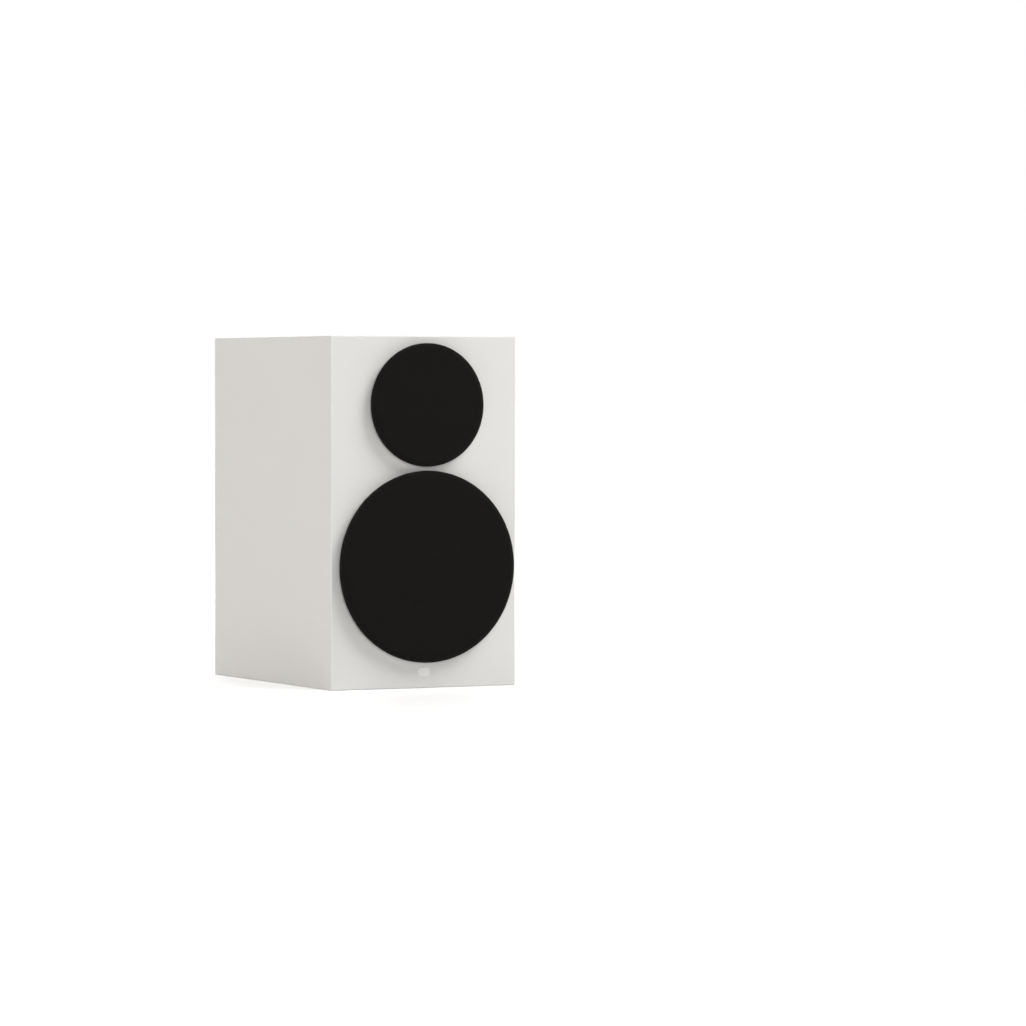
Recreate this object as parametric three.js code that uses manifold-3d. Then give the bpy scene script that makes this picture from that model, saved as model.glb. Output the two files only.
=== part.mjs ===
import * as THREE from 'three';
import { mergeVertices } from 'three/addons/utils/BufferGeometryUtils.js';
import Module from 'manifold-3d';

const wasm = await Module();
wasm.setup();

// Two-way bookshelf speaker. Millimetres, +Z up, front facing -Y, base on z = 0.

// Cabinet
const CABINET_HEIGHT = 376;
const CABINET_WIDTH = 218;
const CABINET_DEPTH = 316;
const FRONT_THICKNESS = 18;
const PANEL_THICKNESS = 15;
const BRACE_THICKNESS = 12;

// Round grilles and the drivers behind them
const WOOFER_GRILLE_RADIUS = 102.5;
const TWEETER_GRILLE_RADIUS = 66;
const WOOFER_GRILLE_BASE = 27.3;
const GRILLE_GAP = 4.3;
const GRILLE_DEPTH = 13.8;
const GRILLE_STANDOFF = 7;
const GRILLE_EDGE_WIDTH = 6.5;
const GRILLE_EDGE_DEPTH = 4.5;
const CLOTH_THICKNESS = 0.65;
const TRIM_HEIGHT = 5;
const GRILLE_OVERHANG = 3.9;
const HOOP_WIDTH = 10;
const MAGNET_STRIP_WIDTH = 6.5;
const MAGNET_STRIP_HEIGHT = 1.8;

// Reflex port and terminals in the back board
const PORT_RADIUS = 25;
const PORT_WALL = 3;
const PORT_LENGTH = 130.5;
const PORT_HEIGHT = 300;
const CUP_HEIGHT = 88;
const CUP_WIDTH = 104;
const CUP_TALL = 80;
const CUP_RECESS_DEPTH = 22;
const POST_SPACING = 38;
const POST_CAP_RADIUS = 8.5;

// Clearances
const GLUE_GAP = 0.3;
const HOLE_CLEARANCE = 0.3;
const SCREW_CLEARANCE = 0.2;

// Facets round a full turn
const BIG_ROUND = 36;
const MIDDLE_ROUND = 28;
const SMALL_ROUND = 16;
const SCREW_ROUND = 10;

const HALF_WIDTH = CABINET_WIDTH / 2;
const INNER_HALF_WIDTH = HALF_WIDTH - PANEL_THICKNESS;
const FRONT_Y = -CABINET_DEPTH / 2;
const BACK_Y = CABINET_DEPTH / 2;
const INNER_FRONT_Y = FRONT_Y + FRONT_THICKNESS;
const INNER_BACK_Y = BACK_Y - PANEL_THICKNESS;
const WOOFER_Z = WOOFER_GRILLE_BASE + WOOFER_GRILLE_RADIUS;
const TWEETER_Z = WOOFER_Z + WOOFER_GRILLE_RADIUS + GRILLE_GAP + TWEETER_GRILLE_RADIUS;

function toManifold(geometry) {
  const bare = geometry.clone();
  bare.deleteAttribute('normal');
  bare.deleteAttribute('uv');
  const merged = mergeVertices(bare, 1e-4);
  const points = merged.attributes.position.array;
  const corners = merged.index.array;
  const triangles = [];
  let volume = 0;
  for (let i = 0; i < corners.length; i += 3) {
    const [a, b, c] = [corners[i], corners[i + 1], corners[i + 2]];
    if (a === b || b === c || c === a) continue;
    triangles.push(a, b, c);
    const [p, q, r] = [a, b, c].map((k) => new THREE.Vector3().fromArray(points, 3 * k));
    volume += p.dot(q.cross(r));
  }
  if (volume < 0) {
    for (let i = 0; i < triangles.length; i += 3) {
      [triangles[i + 1], triangles[i + 2]] = [triangles[i + 2], triangles[i + 1]];
    }
  }
  return new wasm.Manifold(new wasm.Mesh({
    numProp: 3,
    vertProperties: new Float32Array(points),
    triVerts: new Uint32Array(triangles),
  }));
}

function toGeometry(manifold) {
  const mesh = manifold.getMesh();
  const geometry = new THREE.BufferGeometry();
  geometry.setAttribute('position', new THREE.BufferAttribute(new Float32Array(mesh.vertProperties), 3));
  geometry.setIndex(new THREE.BufferAttribute(new Uint32Array(mesh.triVerts), 1));
  geometry.computeVertexNormals();
  return geometry;
}

function cut(base, tools) {
  return toGeometry(tools.reduce((left, tool) => left.subtract(toManifold(tool)), toManifold(base)));
}

function clean(geometry) {
  return toGeometry(toManifold(geometry));
}

// A box between two corners.
function block(low, high) {
  const size = high.map((v, i) => v - low[i]);
  return new THREE.BoxGeometry(...size).translate(...low.map((v, i) => v + size[i] / 2));
}

// A turned shape about Y from [radius, height] points, closing on itself or on the axis.
function turned(profile, rounds) {
  const points = profile.map(([r, h]) => new THREE.Vector2(r, h));
  if (profile[0][0] > 0 || profile[profile.length - 1][0] > 0) points.push(points[0].clone());
  return new THREE.LatheGeometry(points, rounds);
}

// A plain turned plug about Y, used for holes.
function plug(radius, from, to, rounds) {
  return turned([[0, from], [radius, from], [radius, to], [0, to]], rounds);
}

// A ring of rectangular section about Y.
function washer(inner, outer, from, to, rounds) {
  return turned([[inner, from], [outer, from], [outer, to], [inner, to]], rounds);
}

// A flat shape drawn in X and Z, standing between two values of Y.
function slab(shape, from, to, curveSegments = 3) {
  return new THREE.ExtrudeGeometry(shape, { depth: to - from, bevelEnabled: false, curveSegments })
    .rotateX(Math.PI / 2)
    .translate(0, to, 0);
}

function roundedRectangle(width, height, radius) {
  const [x, y] = [width / 2, height / 2];
  const shape = new THREE.Shape();
  shape.moveTo(x, -y + radius);
  shape.absarc(x - radius, y - radius, radius, 0, Math.PI / 2);
  shape.absarc(-x + radius, y - radius, radius, Math.PI / 2, Math.PI);
  shape.absarc(-x + radius, -y + radius, radius, Math.PI, 1.5 * Math.PI);
  shape.absarc(x - radius, -y + radius, radius, 1.5 * Math.PI, 2 * Math.PI);
  return shape;
}

// Places on a circle about Y.
function around(count, radius, startDegrees) {
  return Array.from({ length: count }, (_, i) => {
    const angle = THREE.MathUtils.degToRad(startDegrees + (360 * i) / count);
    return [radius * Math.sin(angle), radius * Math.cos(angle)];
  });
}

function finish(color, roughness, metalness = 0) {
  return { color, roughness, metalness };
}

const SATIN_WHITE = finish('#e8e7e4', 0.5);
const BADGE_WHITE = finish('#f2f1ee', 0.3);
const BOARD = finish('#a98a63', 0.85);
const WADDING = finish('#d8d6cf', 1);
const CLOTH = finish('#1a1917', 0.95);
const BLACK_PLASTIC = finish('#1b1b1c', 0.45);
const HOOP_PLASTIC = finish('#161616', 0.6);
const BLACK_STEEL = finish('#202123', 0.4, 0.7);
const CAST_METAL = finish('#2b2c2e', 0.55, 0.6);
const ZINC_STEEL = finish('#8f9296', 0.35, 0.9);
const FERRITE = finish('#343436', 0.7);
const RUBBER = finish('#141415', 0.6);
const PAPER = finish('#26272a', 0.75);
const SPIDER_CLOTH = finish('#b98a45', 0.9);
const COPPER = finish('#b8703a', 0.35, 0.9);
const DOME_CLOTH = finish('#2c2c30', 0.6);
const GOLD = finish('#c9a24a', 0.3, 1);
const RED_PLASTIC = finish('#9e1b1b', 0.4);
const CIRCUIT = finish('#2f5d3a', 0.6);
const FILM = finish('#c9b53a', 0.4);
const LEAD = finish('#5a2424', 0.5);
const MAGNET_RUBBER = finish('#3b3029', 0.8);

function piece(name, geometry, look) {
  const mesh = new THREE.Mesh(geometry, new THREE.MeshStandardMaterial(look));
  mesh.name = name;
  return mesh;
}

const speaker = new THREE.Group();
speaker.name = 'bookshelf_speaker';

// Woofer sizes. Heights are measured forward from the front board's face.
const WOOFER_TRIM_RADIUS = WOOFER_GRILLE_RADIUS - GRILLE_OVERHANG;
const WOOFER_FLANGE_RADIUS = WOOFER_TRIM_RADIUS - 1;
const WOOFER_CUTOUT_RADIUS = WOOFER_FLANGE_RADIUS - 8.5;
const WOOFER_SCREW_CIRCLE = WOOFER_FLANGE_RADIUS - 4.3;
const FLANGE_THICKNESS = 4;
const SCREW_HEAD_RADIUS = 3.2;
const SCREW_SHANK_RADIUS = 2;
const SCREW_HEAD_HEIGHT = 2.8;
const SCREW_REACH = 16;
const SURROUND_SEAT = 2;
const SURROUND_THICKNESS = 1;
const CONE_RADIUS = WOOFER_FLANGE_RADIUS - 28;
const CONE_EDGE = 4;
const CONE_RIM_HEIGHT = -5;
const CONE_THICKNESS = 1.4;
const CONE_NECK_HEIGHT = -38;
const COIL_RADIUS = 16.6;
const FORMER_WALL = 0.6;
const SPIDER_RADIUS = 52;
const SPIDER_HEIGHT = -42;
const BASKET_FLOOR = -58;
const BASKET_BACK = -62;
const PLATE_THICKNESS = 6;
const MAGNET_HEIGHT = 18;
const MAGNET_RADIUS = 55;
const YOKE_THICKNESS = 7;
const GAP_PLATE_RADIUS = COIL_RADIUS + 1.4;
const POLE_RADIUS = COIL_RADIUS - 1.4;

// Tweeter sizes, heights measured the same way.
const FACEPLATE_RADIUS = TWEETER_GRILLE_RADIUS - GRILLE_OVERHANG + 0.7;
const FACEPLATE_SEAT_RADIUS = FACEPLATE_RADIUS - 3;
const TWEETER_CUTOUT_RADIUS = 38;
const TWEETER_SCREW_CIRCLE = FACEPLATE_RADIUS - 13;
const HORN_MOUTH_RADIUS = FACEPLATE_RADIUS - 19;
const THROAT_RADIUS = 16;
const DOME_RADIUS = 12.8;
const TWEETER_PLATE_HEIGHT = -9;
const TWEETER_MOTOR_RADIUS = 33;

// Cabinet: butt-jointed boards under one coat of satin white lacquer. The front and back boards
// cover the ends of the sides, and the top and bottom stand between the sides.
const frontTools = [
  plug(WOOFER_CUTOUT_RADIUS, -FRONT_THICKNESS - 1, 1, BIG_ROUND),
  plug(WOOFER_FLANGE_RADIUS + HOLE_CLEARANCE, -FLANGE_THICKNESS, 1, BIG_ROUND),
  ...around(4, WOOFER_SCREW_CIRCLE, 45).map(([x, z]) =>
    plug(SCREW_SHANK_RADIUS + SCREW_CLEARANCE, -SCREW_REACH - 1, 0, SCREW_ROUND).translate(x, 0, z)),
].map((tool) => tool.rotateX(Math.PI).translate(0, FRONT_Y, WOOFER_Z)).concat([
  plug(TWEETER_CUTOUT_RADIUS, -FRONT_THICKNESS - 1, 1, MIDDLE_ROUND),
  plug(FACEPLATE_SEAT_RADIUS + HOLE_CLEARANCE, -FLANGE_THICKNESS, 1, MIDDLE_ROUND),
  ...around(3, TWEETER_SCREW_CIRCLE, 60).map(([x, z]) =>
    plug(SCREW_SHANK_RADIUS + SCREW_CLEARANCE, -SCREW_REACH - 1, 0, SCREW_ROUND).translate(x, 0, z)),
].map((tool) => tool.rotateX(Math.PI).translate(0, FRONT_Y, TWEETER_Z)));

speaker.add(piece('front_baffle', cut(
  block([-HALF_WIDTH, FRONT_Y, 0], [HALF_WIDTH, INNER_FRONT_Y, CABINET_HEIGHT]),
  frontTools,
), SATIN_WHITE));

const sides = [['left_panel', -1], ['right_panel', 1]];
for (const [name, side] of sides) {
  const [a, b] = [side * HALF_WIDTH, side * INNER_HALF_WIDTH].sort((p, q) => p - q);
  speaker.add(piece(name, clean(block([a, INNER_FRONT_Y, 0], [b, INNER_BACK_Y, CABINET_HEIGHT])), SATIN_WHITE));
}
const levels = [['bottom_panel', 0], ['top_panel', CABINET_HEIGHT - PANEL_THICKNESS]];
for (const [name, z] of levels) {
  speaker.add(piece(name, clean(block(
    [-INNER_HALF_WIDTH, INNER_FRONT_Y, z],
    [INNER_HALF_WIDTH, INNER_BACK_Y, z + PANEL_THICKNESS],
  )), SATIN_WHITE));
}

// Port sizes: a moulded tube with a flare at each end, its flange on the back board's outer face.
const PORT_OUTER = PORT_RADIUS + PORT_WALL;
const PORT_HOLE_RADIUS = PORT_RADIUS + 10.3;
const PORT_FLANGE_RADIUS = PORT_RADIUS + 19;
const PORT_FLANGE_HEIGHT = 3;

// Terminal cup sizes.
const CUP_WALL = 3;
const CUP_FLANGE_HEIGHT = 3;
const CUP_RIM = 14;
const CUP_CORNER = 8;
const CUP_SCREW_INSET = 5.5;
const CUP_SCREW_SHANK = 1.5;
const CUP_SCREW_HEAD = 3.2;
const CUP_FLOOR_Y = BACK_Y - CUP_RECESS_DEPTH;
const cupScrewPlaces = [-1, 1].flatMap((i) => [-1, 1].map((k) => [
  i * (CUP_WIDTH / 2 - CUP_SCREW_INSET), k * (CUP_TALL / 2 - CUP_SCREW_INSET),
]));

const cupBody = (extra) => roundedRectangle(
  CUP_WIDTH - 2 * CUP_RIM + 2 * (CUP_WALL + extra),
  CUP_TALL - 2 * CUP_RIM + 2 * (CUP_WALL + extra),
  CUP_CORNER + extra,
);
const backTools = [
  plug(PORT_HOLE_RADIUS, INNER_BACK_Y - 1, BACK_Y + 1, MIDDLE_ROUND).translate(0, 0, PORT_HEIGHT),
  slab(cupBody(HOLE_CLEARANCE), INNER_BACK_Y - 1, BACK_Y + 1).translate(0, 0, CUP_HEIGHT),
  ...cupScrewPlaces.map(([x, z]) =>
    plug(CUP_SCREW_SHANK + SCREW_CLEARANCE, BACK_Y - PANEL_THICKNESS + 2, BACK_Y + 1, SCREW_ROUND)
      .translate(x, 0, CUP_HEIGHT + z)),
];
speaker.add(piece('rear_panel', cut(
  block([-HALF_WIDTH, INNER_BACK_Y, 0], [HALF_WIDTH, BACK_Y, CABINET_HEIGHT]),
  backTools,
), SATIN_WHITE));

// Shelf brace: glued across the cabinet between the two drivers, with one large window for the air.
const BRACE_TOP = TWEETER_Z - FACEPLATE_RADIUS - 3;
const BRACE_BOTTOM = BRACE_TOP - BRACE_THICKNESS;
const BRACE_RAIL = 32;
speaker.add(piece('shelf_brace', cut(
  block([-INNER_HALF_WIDTH, INNER_FRONT_Y, BRACE_BOTTOM], [INNER_HALF_WIDTH, INNER_BACK_Y, BRACE_TOP]),
  [block(
    [-INNER_HALF_WIDTH + BRACE_RAIL, INNER_FRONT_Y + BRACE_RAIL, BRACE_BOTTOM - 1],
    [INNER_HALF_WIDTH - BRACE_RAIL, INNER_BACK_Y - BRACE_RAIL, BRACE_TOP + 1],
  )],
), BOARD));

// Wadding: a loose pad stapled to each side wall of the lower chamber.
const PAD_THICKNESS = 12;
const PAD_MARGIN = 16;
for (const [name, side] of [['wadding_left', -1], ['wadding_right', 1]]) {
  const wall = side * (INNER_HALF_WIDTH - GLUE_GAP);
  const [a, b] = [wall, wall - side * PAD_THICKNESS].sort((p, q) => p - q);
  speaker.add(piece(name, clean(block(
    [a, INNER_FRONT_Y + PAD_MARGIN, PANEL_THICKNESS + PAD_MARGIN],
    [b, INNER_BACK_Y - PAD_MARGIN, BRACE_BOTTOM - PAD_MARGIN],
  )), WADDING));
}

// Badge: a small blank plate glued under the woofer grille.
const BADGE_WIDTH = 14;
const BADGE_TALL = 10;
const BADGE_THICKNESS = 0.8;
const BADGE_HEIGHT = 17.4;
speaker.add(piece('badge', clean(
  slab(roundedRectangle(BADGE_WIDTH, BADGE_TALL, BADGE_TALL / 2 - 0.2), FRONT_Y - BADGE_THICKNESS, FRONT_Y, 4)
    .translate(0, 0, BADGE_HEIGHT),
), BADGE_WHITE));

// Woofer: a pressed trim ring over a cast basket, let into the front board and held by four screws.
const woofer = new THREE.Group();
woofer.name = 'woofer';
woofer.position.set(0, FRONT_Y, WOOFER_Z);
woofer.rotation.x = Math.PI;
speaker.add(woofer);

const SEAT_OUTER = WOOFER_FLANGE_RADIUS - 12;
const SEAT_INNER = WOOFER_FLANGE_RADIUS - 17;
const CUP_OUTER = SPIDER_RADIUS + 8;
const SPIDER_SEAT_INNER = SPIDER_RADIUS - 4;
const basketBody = turned([
  [WOOFER_FLANGE_RADIUS, -FLANGE_THICKNESS],
  [WOOFER_FLANGE_RADIUS, 0],
  [SEAT_OUTER, 0],
  [SEAT_OUTER, -SURROUND_SEAT],
  [SEAT_INNER, -SURROUND_SEAT],
  [SEAT_INNER, -FLANGE_THICKNESS - 1],
  [SPIDER_RADIUS + 2, SPIDER_HEIGHT],
  [SPIDER_SEAT_INNER, SPIDER_HEIGHT],
  [SPIDER_SEAT_INNER, BASKET_FLOOR],
  [COIL_RADIUS + 5, BASKET_FLOOR],
  [COIL_RADIUS + 5, BASKET_BACK],
  [CUP_OUTER, BASKET_BACK],
  [CUP_OUTER, SPIDER_HEIGHT - 4],
  [WOOFER_CUTOUT_RADIUS - 1.5, -FLANGE_THICKNESS - 4],
  [WOOFER_CUTOUT_RADIUS - 1.5, -FLANGE_THICKNESS],
], BIG_ROUND);
const WINDOW_WIDTH = 44;
const WINDOW_TOP = -12;
const WINDOW_BOTTOM = SPIDER_HEIGHT + 5;
const basketWindows = [0, 60, 120].map((degrees) =>
  block(
    [-WOOFER_FLANGE_RADIUS, WINDOW_BOTTOM, -WINDOW_WIDTH / 2],
    [WOOFER_FLANGE_RADIUS, WINDOW_TOP, WINDOW_WIDTH / 2],
  ).rotateY(THREE.MathUtils.degToRad(degrees)));
const wooferScrewPlaces = around(4, WOOFER_SCREW_CIRCLE, 45);
const wooferScrewHoles = wooferScrewPlaces.map(([x, z]) =>
  plug(SCREW_SHANK_RADIUS + SCREW_CLEARANCE, -FLANGE_THICKNESS - 1, TRIM_HEIGHT + 1, SCREW_ROUND)
    .translate(x, 0, z));
woofer.add(piece('woofer_basket', cut(basketBody, [...basketWindows, ...wooferScrewHoles]), CAST_METAL));

const TRIM_INNER = SEAT_OUTER - 1;
const TRIM_EDGE = 1.5;
const headPockets = (places) => places.map(([x, z]) =>
  plug(SCREW_HEAD_RADIUS + SCREW_CLEARANCE, TRIM_HEIGHT - SCREW_HEAD_HEIGHT - 0.2, TRIM_HEIGHT + 1, SCREW_ROUND)
    .translate(x, 0, z));
woofer.add(piece('woofer_trim_ring', cut(turned([
  [TRIM_INNER, 0],
  [WOOFER_TRIM_RADIUS, 0],
  [WOOFER_TRIM_RADIUS, TRIM_HEIGHT],
  [TRIM_INNER + TRIM_EDGE, TRIM_HEIGHT],
  [TRIM_INNER, TRIM_HEIGHT - TRIM_EDGE],
], BIG_ROUND), [...wooferScrewHoles, ...headPockets(wooferScrewPlaces)]), BLACK_STEEL));

const screwBody = () => {
  const top = TRIM_HEIGHT - 0.2;
  const under = top - SCREW_HEAD_HEIGHT;
  return turned([
    [0, -SCREW_REACH],
    [SCREW_SHANK_RADIUS, -SCREW_REACH + 2],
    [SCREW_SHANK_RADIUS, under],
    [SCREW_HEAD_RADIUS, under],
    [SCREW_HEAD_RADIUS, top],
    [0, top],
  ], SCREW_ROUND);
};
wooferScrewPlaces.forEach(([x, z], i) => {
  const screw = piece(`woofer_screw_${i + 1}`, clean(screwBody()), ZINC_STEEL);
  screw.position.set(x, 0, z);
  woofer.add(screw);
});

// Woofer motor: plate, ring magnet and yoke stacked behind the basket, with a vented pole.
const plateBack = BASKET_BACK - PLATE_THICKNESS;
const magnetBack = plateBack - MAGNET_HEIGHT;
const yokeBack = magnetBack - YOKE_THICKNESS;
const MOTOR_PLATE_RADIUS = MAGNET_RADIUS - 3;
const POLE_VENT_RADIUS = 5;
woofer.add(piece('woofer_top_plate', clean(
  washer(GAP_PLATE_RADIUS, MOTOR_PLATE_RADIUS, plateBack, BASKET_BACK, SMALL_ROUND * 1.5),
), ZINC_STEEL));
woofer.add(piece('woofer_magnet', clean(
  washer(GAP_PLATE_RADIUS + 6, MAGNET_RADIUS, magnetBack, plateBack, SMALL_ROUND * 1.5),
), FERRITE));
woofer.add(piece('woofer_yoke', clean(turned([
  [POLE_VENT_RADIUS, yokeBack],
  [MOTOR_PLATE_RADIUS, yokeBack],
  [MOTOR_PLATE_RADIUS, magnetBack],
  [POLE_RADIUS, magnetBack],
  [POLE_RADIUS, BASKET_BACK],
  [POLE_VENT_RADIUS, BASKET_BACK],
], SMALL_ROUND * 1.5)), ZINC_STEEL));

// Woofer moving parts: coil on its former, cone, dust cap, and the two springy pieces that hold them.
const WINDING_TOP = BASKET_BACK + 2;
const WINDING_BOTTOM = plateBack - 4;
woofer.add(piece('woofer_voice_coil', clean(turned([
  [COIL_RADIUS - FORMER_WALL, WINDING_BOTTOM],
  [COIL_RADIUS + FORMER_WALL, WINDING_BOTTOM],
  [COIL_RADIUS + FORMER_WALL, WINDING_TOP],
  [COIL_RADIUS, WINDING_TOP],
  [COIL_RADIUS, CONE_NECK_HEIGHT],
  [COIL_RADIUS - FORMER_WALL, CONE_NECK_HEIGHT],
], SMALL_ROUND * 1.5)), COPPER));

const NECK_RADIUS = COIL_RADIUS + GLUE_GAP;
const coneSlope = (CONE_RIM_HEIGHT - CONE_NECK_HEIGHT) / (CONE_RADIUS - CONE_EDGE - NECK_RADIUS);
const coneDrop = CONE_THICKNESS * Math.sqrt(1 + coneSlope * coneSlope);
const coneHeight = (radius) => CONE_NECK_HEIGHT + coneSlope * (radius - NECK_RADIUS);
woofer.add(piece('woofer_cone', clean(turned([
  [NECK_RADIUS, CONE_NECK_HEIGHT - coneDrop],
  [CONE_RADIUS - CONE_EDGE + (coneDrop - CONE_THICKNESS) / coneSlope, CONE_RIM_HEIGHT - CONE_THICKNESS],
  [CONE_RADIUS, CONE_RIM_HEIGHT - CONE_THICKNESS],
  [CONE_RADIUS, CONE_RIM_HEIGHT],
  [CONE_RADIUS - CONE_EDGE, CONE_RIM_HEIGHT],
  [NECK_RADIUS, CONE_NECK_HEIGHT],
], BIG_ROUND)), PAPER));

// A shallow dome shell about Y: rim radius, rim height, rise and wall.
function domeShell(rim, height, rise, wall, rings, rounds) {
  const sphere = (rim * rim + rise * rise) / (2 * rise);
  const half = Math.asin(Math.min(1, rim / sphere));
  const arc = (radius, steps) => Array.from({ length: steps + 1 }, (_, i) => {
    const angle = (half * i) / steps;
    return [radius * Math.sin(angle), height + rise - sphere + radius * Math.cos(angle)];
  });
  const outer = arc(sphere, rings);
  const inner = arc(sphere - wall, rings).reverse();
  outer[0][0] = 0;
  inner[inner.length - 1][0] = 0;
  return turned([...outer, ...inner], rounds);
}
const DUST_CAP_RADIUS = 24;
woofer.add(piece('woofer_dust_cap', clean(
  domeShell(DUST_CAP_RADIUS, coneHeight(DUST_CAP_RADIUS) + 0.7, 7, 0.8, 3, SMALL_ROUND * 1.5),
), PAPER));

// A half-roll suspension: flat lips either side of an arched roll.
function halfRoll(inner, outer, innerLip, outerLip, innerHeight, outerHeight, rise, wall, steps, rounds) {
  const middle = (inner + outer) / 2;
  const reach = (outer - inner) / 2;
  const arch = (r, top) => Array.from({ length: steps + 1 }, (_, i) => {
    const angle = Math.PI - (Math.PI * i) / steps;
    const base = innerHeight + ((outerHeight - innerHeight) * i) / steps;
    return [middle + r * Math.cos(angle), base + top * Math.sin(angle)];
  });
  const front = arch(reach, rise).map(([r, h]) => [r, h + wall]);
  const back = arch(reach - wall, rise - wall).map(([r, h]) => [r, h + wall]).reverse();
  back[0][1] = outerHeight;
  back[back.length - 1][1] = innerHeight;
  return turned([
    [innerLip, innerHeight + wall], ...front, [outerLip, outerHeight + wall],
    [outerLip, outerHeight], ...back, [innerLip, innerHeight],
  ], rounds);
}
woofer.add(piece('woofer_surround', clean(halfRoll(
  CONE_RADIUS - 0.5, SEAT_INNER + 1.5, CONE_RADIUS - CONE_EDGE + 0.5, SEAT_OUTER - 0.6,
  CONE_RIM_HEIGHT, -SURROUND_SEAT, 7, SURROUND_THICKNESS, 4, BIG_ROUND,
)), RUBBER));

const SPIDER_WALL = 0.8;
const SPIDER_WAVE = 1.6;
const SPIDER_RINGS = 4;
const spiderFront = Array.from({ length: SPIDER_RINGS + 1 }, (_, i) => [
  COIL_RADIUS + 4 + ((SPIDER_SEAT_INNER - 1 - COIL_RADIUS - 4) * i) / SPIDER_RINGS,
  SPIDER_HEIGHT + SPIDER_WALL + (i % 2 ? SPIDER_WAVE : 0),
]);
woofer.add(piece('woofer_spider', clean(turned([
  [NECK_RADIUS + GLUE_GAP, SPIDER_HEIGHT + SPIDER_WALL], ...spiderFront,
  [SPIDER_RADIUS, SPIDER_HEIGHT + SPIDER_WALL], [SPIDER_RADIUS, SPIDER_HEIGHT],
  ...spiderFront.map(([r, h]) => [r, h - SPIDER_WALL]).reverse(),
  [NECK_RADIUS + GLUE_GAP, SPIDER_HEIGHT],
], SMALL_ROUND)), SPIDER_CLOTH));

// Tweeter: a moulded faceplate with a shallow horn, let into the front board and held by three screws.
const tweeter = new THREE.Group();
tweeter.name = 'tweeter';
tweeter.position.set(0, FRONT_Y, TWEETER_Z);
tweeter.rotation.x = Math.PI;
speaker.add(tweeter);

const BOSS_RADIUS = TWEETER_CUTOUT_RADIUS - 2;
const BOSS_RELIEF = 20;
const hornAt = (share, height) => [THROAT_RADIUS + (HORN_MOUTH_RADIUS - THROAT_RADIUS) * share, height];
const tweeterScrewPlaces = around(3, TWEETER_SCREW_CIRCLE, 60);
const tweeterScrewHoles = tweeterScrewPlaces.map(([x, z]) =>
  plug(SCREW_SHANK_RADIUS + SCREW_CLEARANCE, -FLANGE_THICKNESS - 1, TRIM_HEIGHT + 1, SCREW_ROUND)
    .translate(x, 0, z));
tweeter.add(piece('tweeter_faceplate', cut(turned([
  [THROAT_RADIUS, TWEETER_PLATE_HEIGHT + 1],
  hornAt(0, -7),
  hornAt(0.15, -4.6),
  hornAt(0.42, -0.5),
  hornAt(0.72, 2.8),
  hornAt(1, 4.5),
  [HORN_MOUTH_RADIUS + 2, TRIM_HEIGHT],
  [FACEPLATE_RADIUS, TRIM_HEIGHT],
  [FACEPLATE_RADIUS, 0],
  [FACEPLATE_SEAT_RADIUS, 0],
  [FACEPLATE_SEAT_RADIUS, -FLANGE_THICKNESS],
  [BOSS_RADIUS, -FLANGE_THICKNESS],
  [BOSS_RADIUS, TWEETER_PLATE_HEIGHT],
  [BOSS_RELIEF, TWEETER_PLATE_HEIGHT],
  [BOSS_RELIEF, TWEETER_PLATE_HEIGHT + 1],
], MIDDLE_ROUND), [...tweeterScrewHoles, ...headPockets(tweeterScrewPlaces)]), BLACK_STEEL));
tweeterScrewPlaces.forEach(([x, z], i) => {
  const screw = piece(`tweeter_screw_${i + 1}`, clean(screwBody()), ZINC_STEEL);
  screw.position.set(x, 0, z);
  tweeter.add(screw);
});

const TWEETER_PLATE_THICKNESS = 3;
const TWEETER_MAGNET_HEIGHT = 12;
const TWEETER_YOKE_THICKNESS = 4;
const TWEETER_COIL_WALL = 0.5;
const tweeterPlateBack = TWEETER_PLATE_HEIGHT - TWEETER_PLATE_THICKNESS;
const tweeterMagnetBack = tweeterPlateBack - TWEETER_MAGNET_HEIGHT;
const tweeterYokeBack = tweeterMagnetBack - TWEETER_YOKE_THICKNESS;
tweeter.add(piece('tweeter_top_plate', clean(washer(
  DOME_RADIUS + 1.1, TWEETER_MOTOR_RADIUS, tweeterPlateBack, TWEETER_PLATE_HEIGHT, SMALL_ROUND,
)), ZINC_STEEL));
tweeter.add(piece('tweeter_magnet', clean(washer(
  DOME_RADIUS + 4, TWEETER_MOTOR_RADIUS - 1, tweeterMagnetBack, tweeterPlateBack, SMALL_ROUND,
)), FERRITE));
tweeter.add(piece('tweeter_yoke', clean(turned([
  [0, tweeterYokeBack],
  [TWEETER_MOTOR_RADIUS, tweeterYokeBack],
  [TWEETER_MOTOR_RADIUS, tweeterMagnetBack],
  [DOME_RADIUS - 1.4, tweeterMagnetBack],
  [DOME_RADIUS - 1.4, TWEETER_PLATE_HEIGHT],
  [0, TWEETER_PLATE_HEIGHT],
], SMALL_ROUND)), ZINC_STEEL));
const DOME_BASE = TWEETER_PLATE_HEIGHT + 1;
tweeter.add(piece('tweeter_voice_coil', clean(washer(
  DOME_RADIUS - TWEETER_COIL_WALL - 0.2, DOME_RADIUS - 0.2,
  tweeterPlateBack - 1, DOME_BASE - GLUE_GAP, SMALL_ROUND * 1.5,
)), COPPER));
tweeter.add(piece('tweeter_dome', clean(
  domeShell(DOME_RADIUS - 0.1, DOME_BASE + 0.5, 5.2, 0.5, 3, SMALL_ROUND * 1.5),
), DOME_CLOTH));
tweeter.add(piece('tweeter_surround', clean(halfRoll(
  DOME_RADIUS + 0.2, THROAT_RADIUS - 0.4, DOME_RADIUS + 0.05, THROAT_RADIUS + 2.4,
  DOME_BASE, TWEETER_PLATE_HEIGHT, 1.2, 0.4, 3, SMALL_ROUND,
)), DOME_CLOTH));

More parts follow.
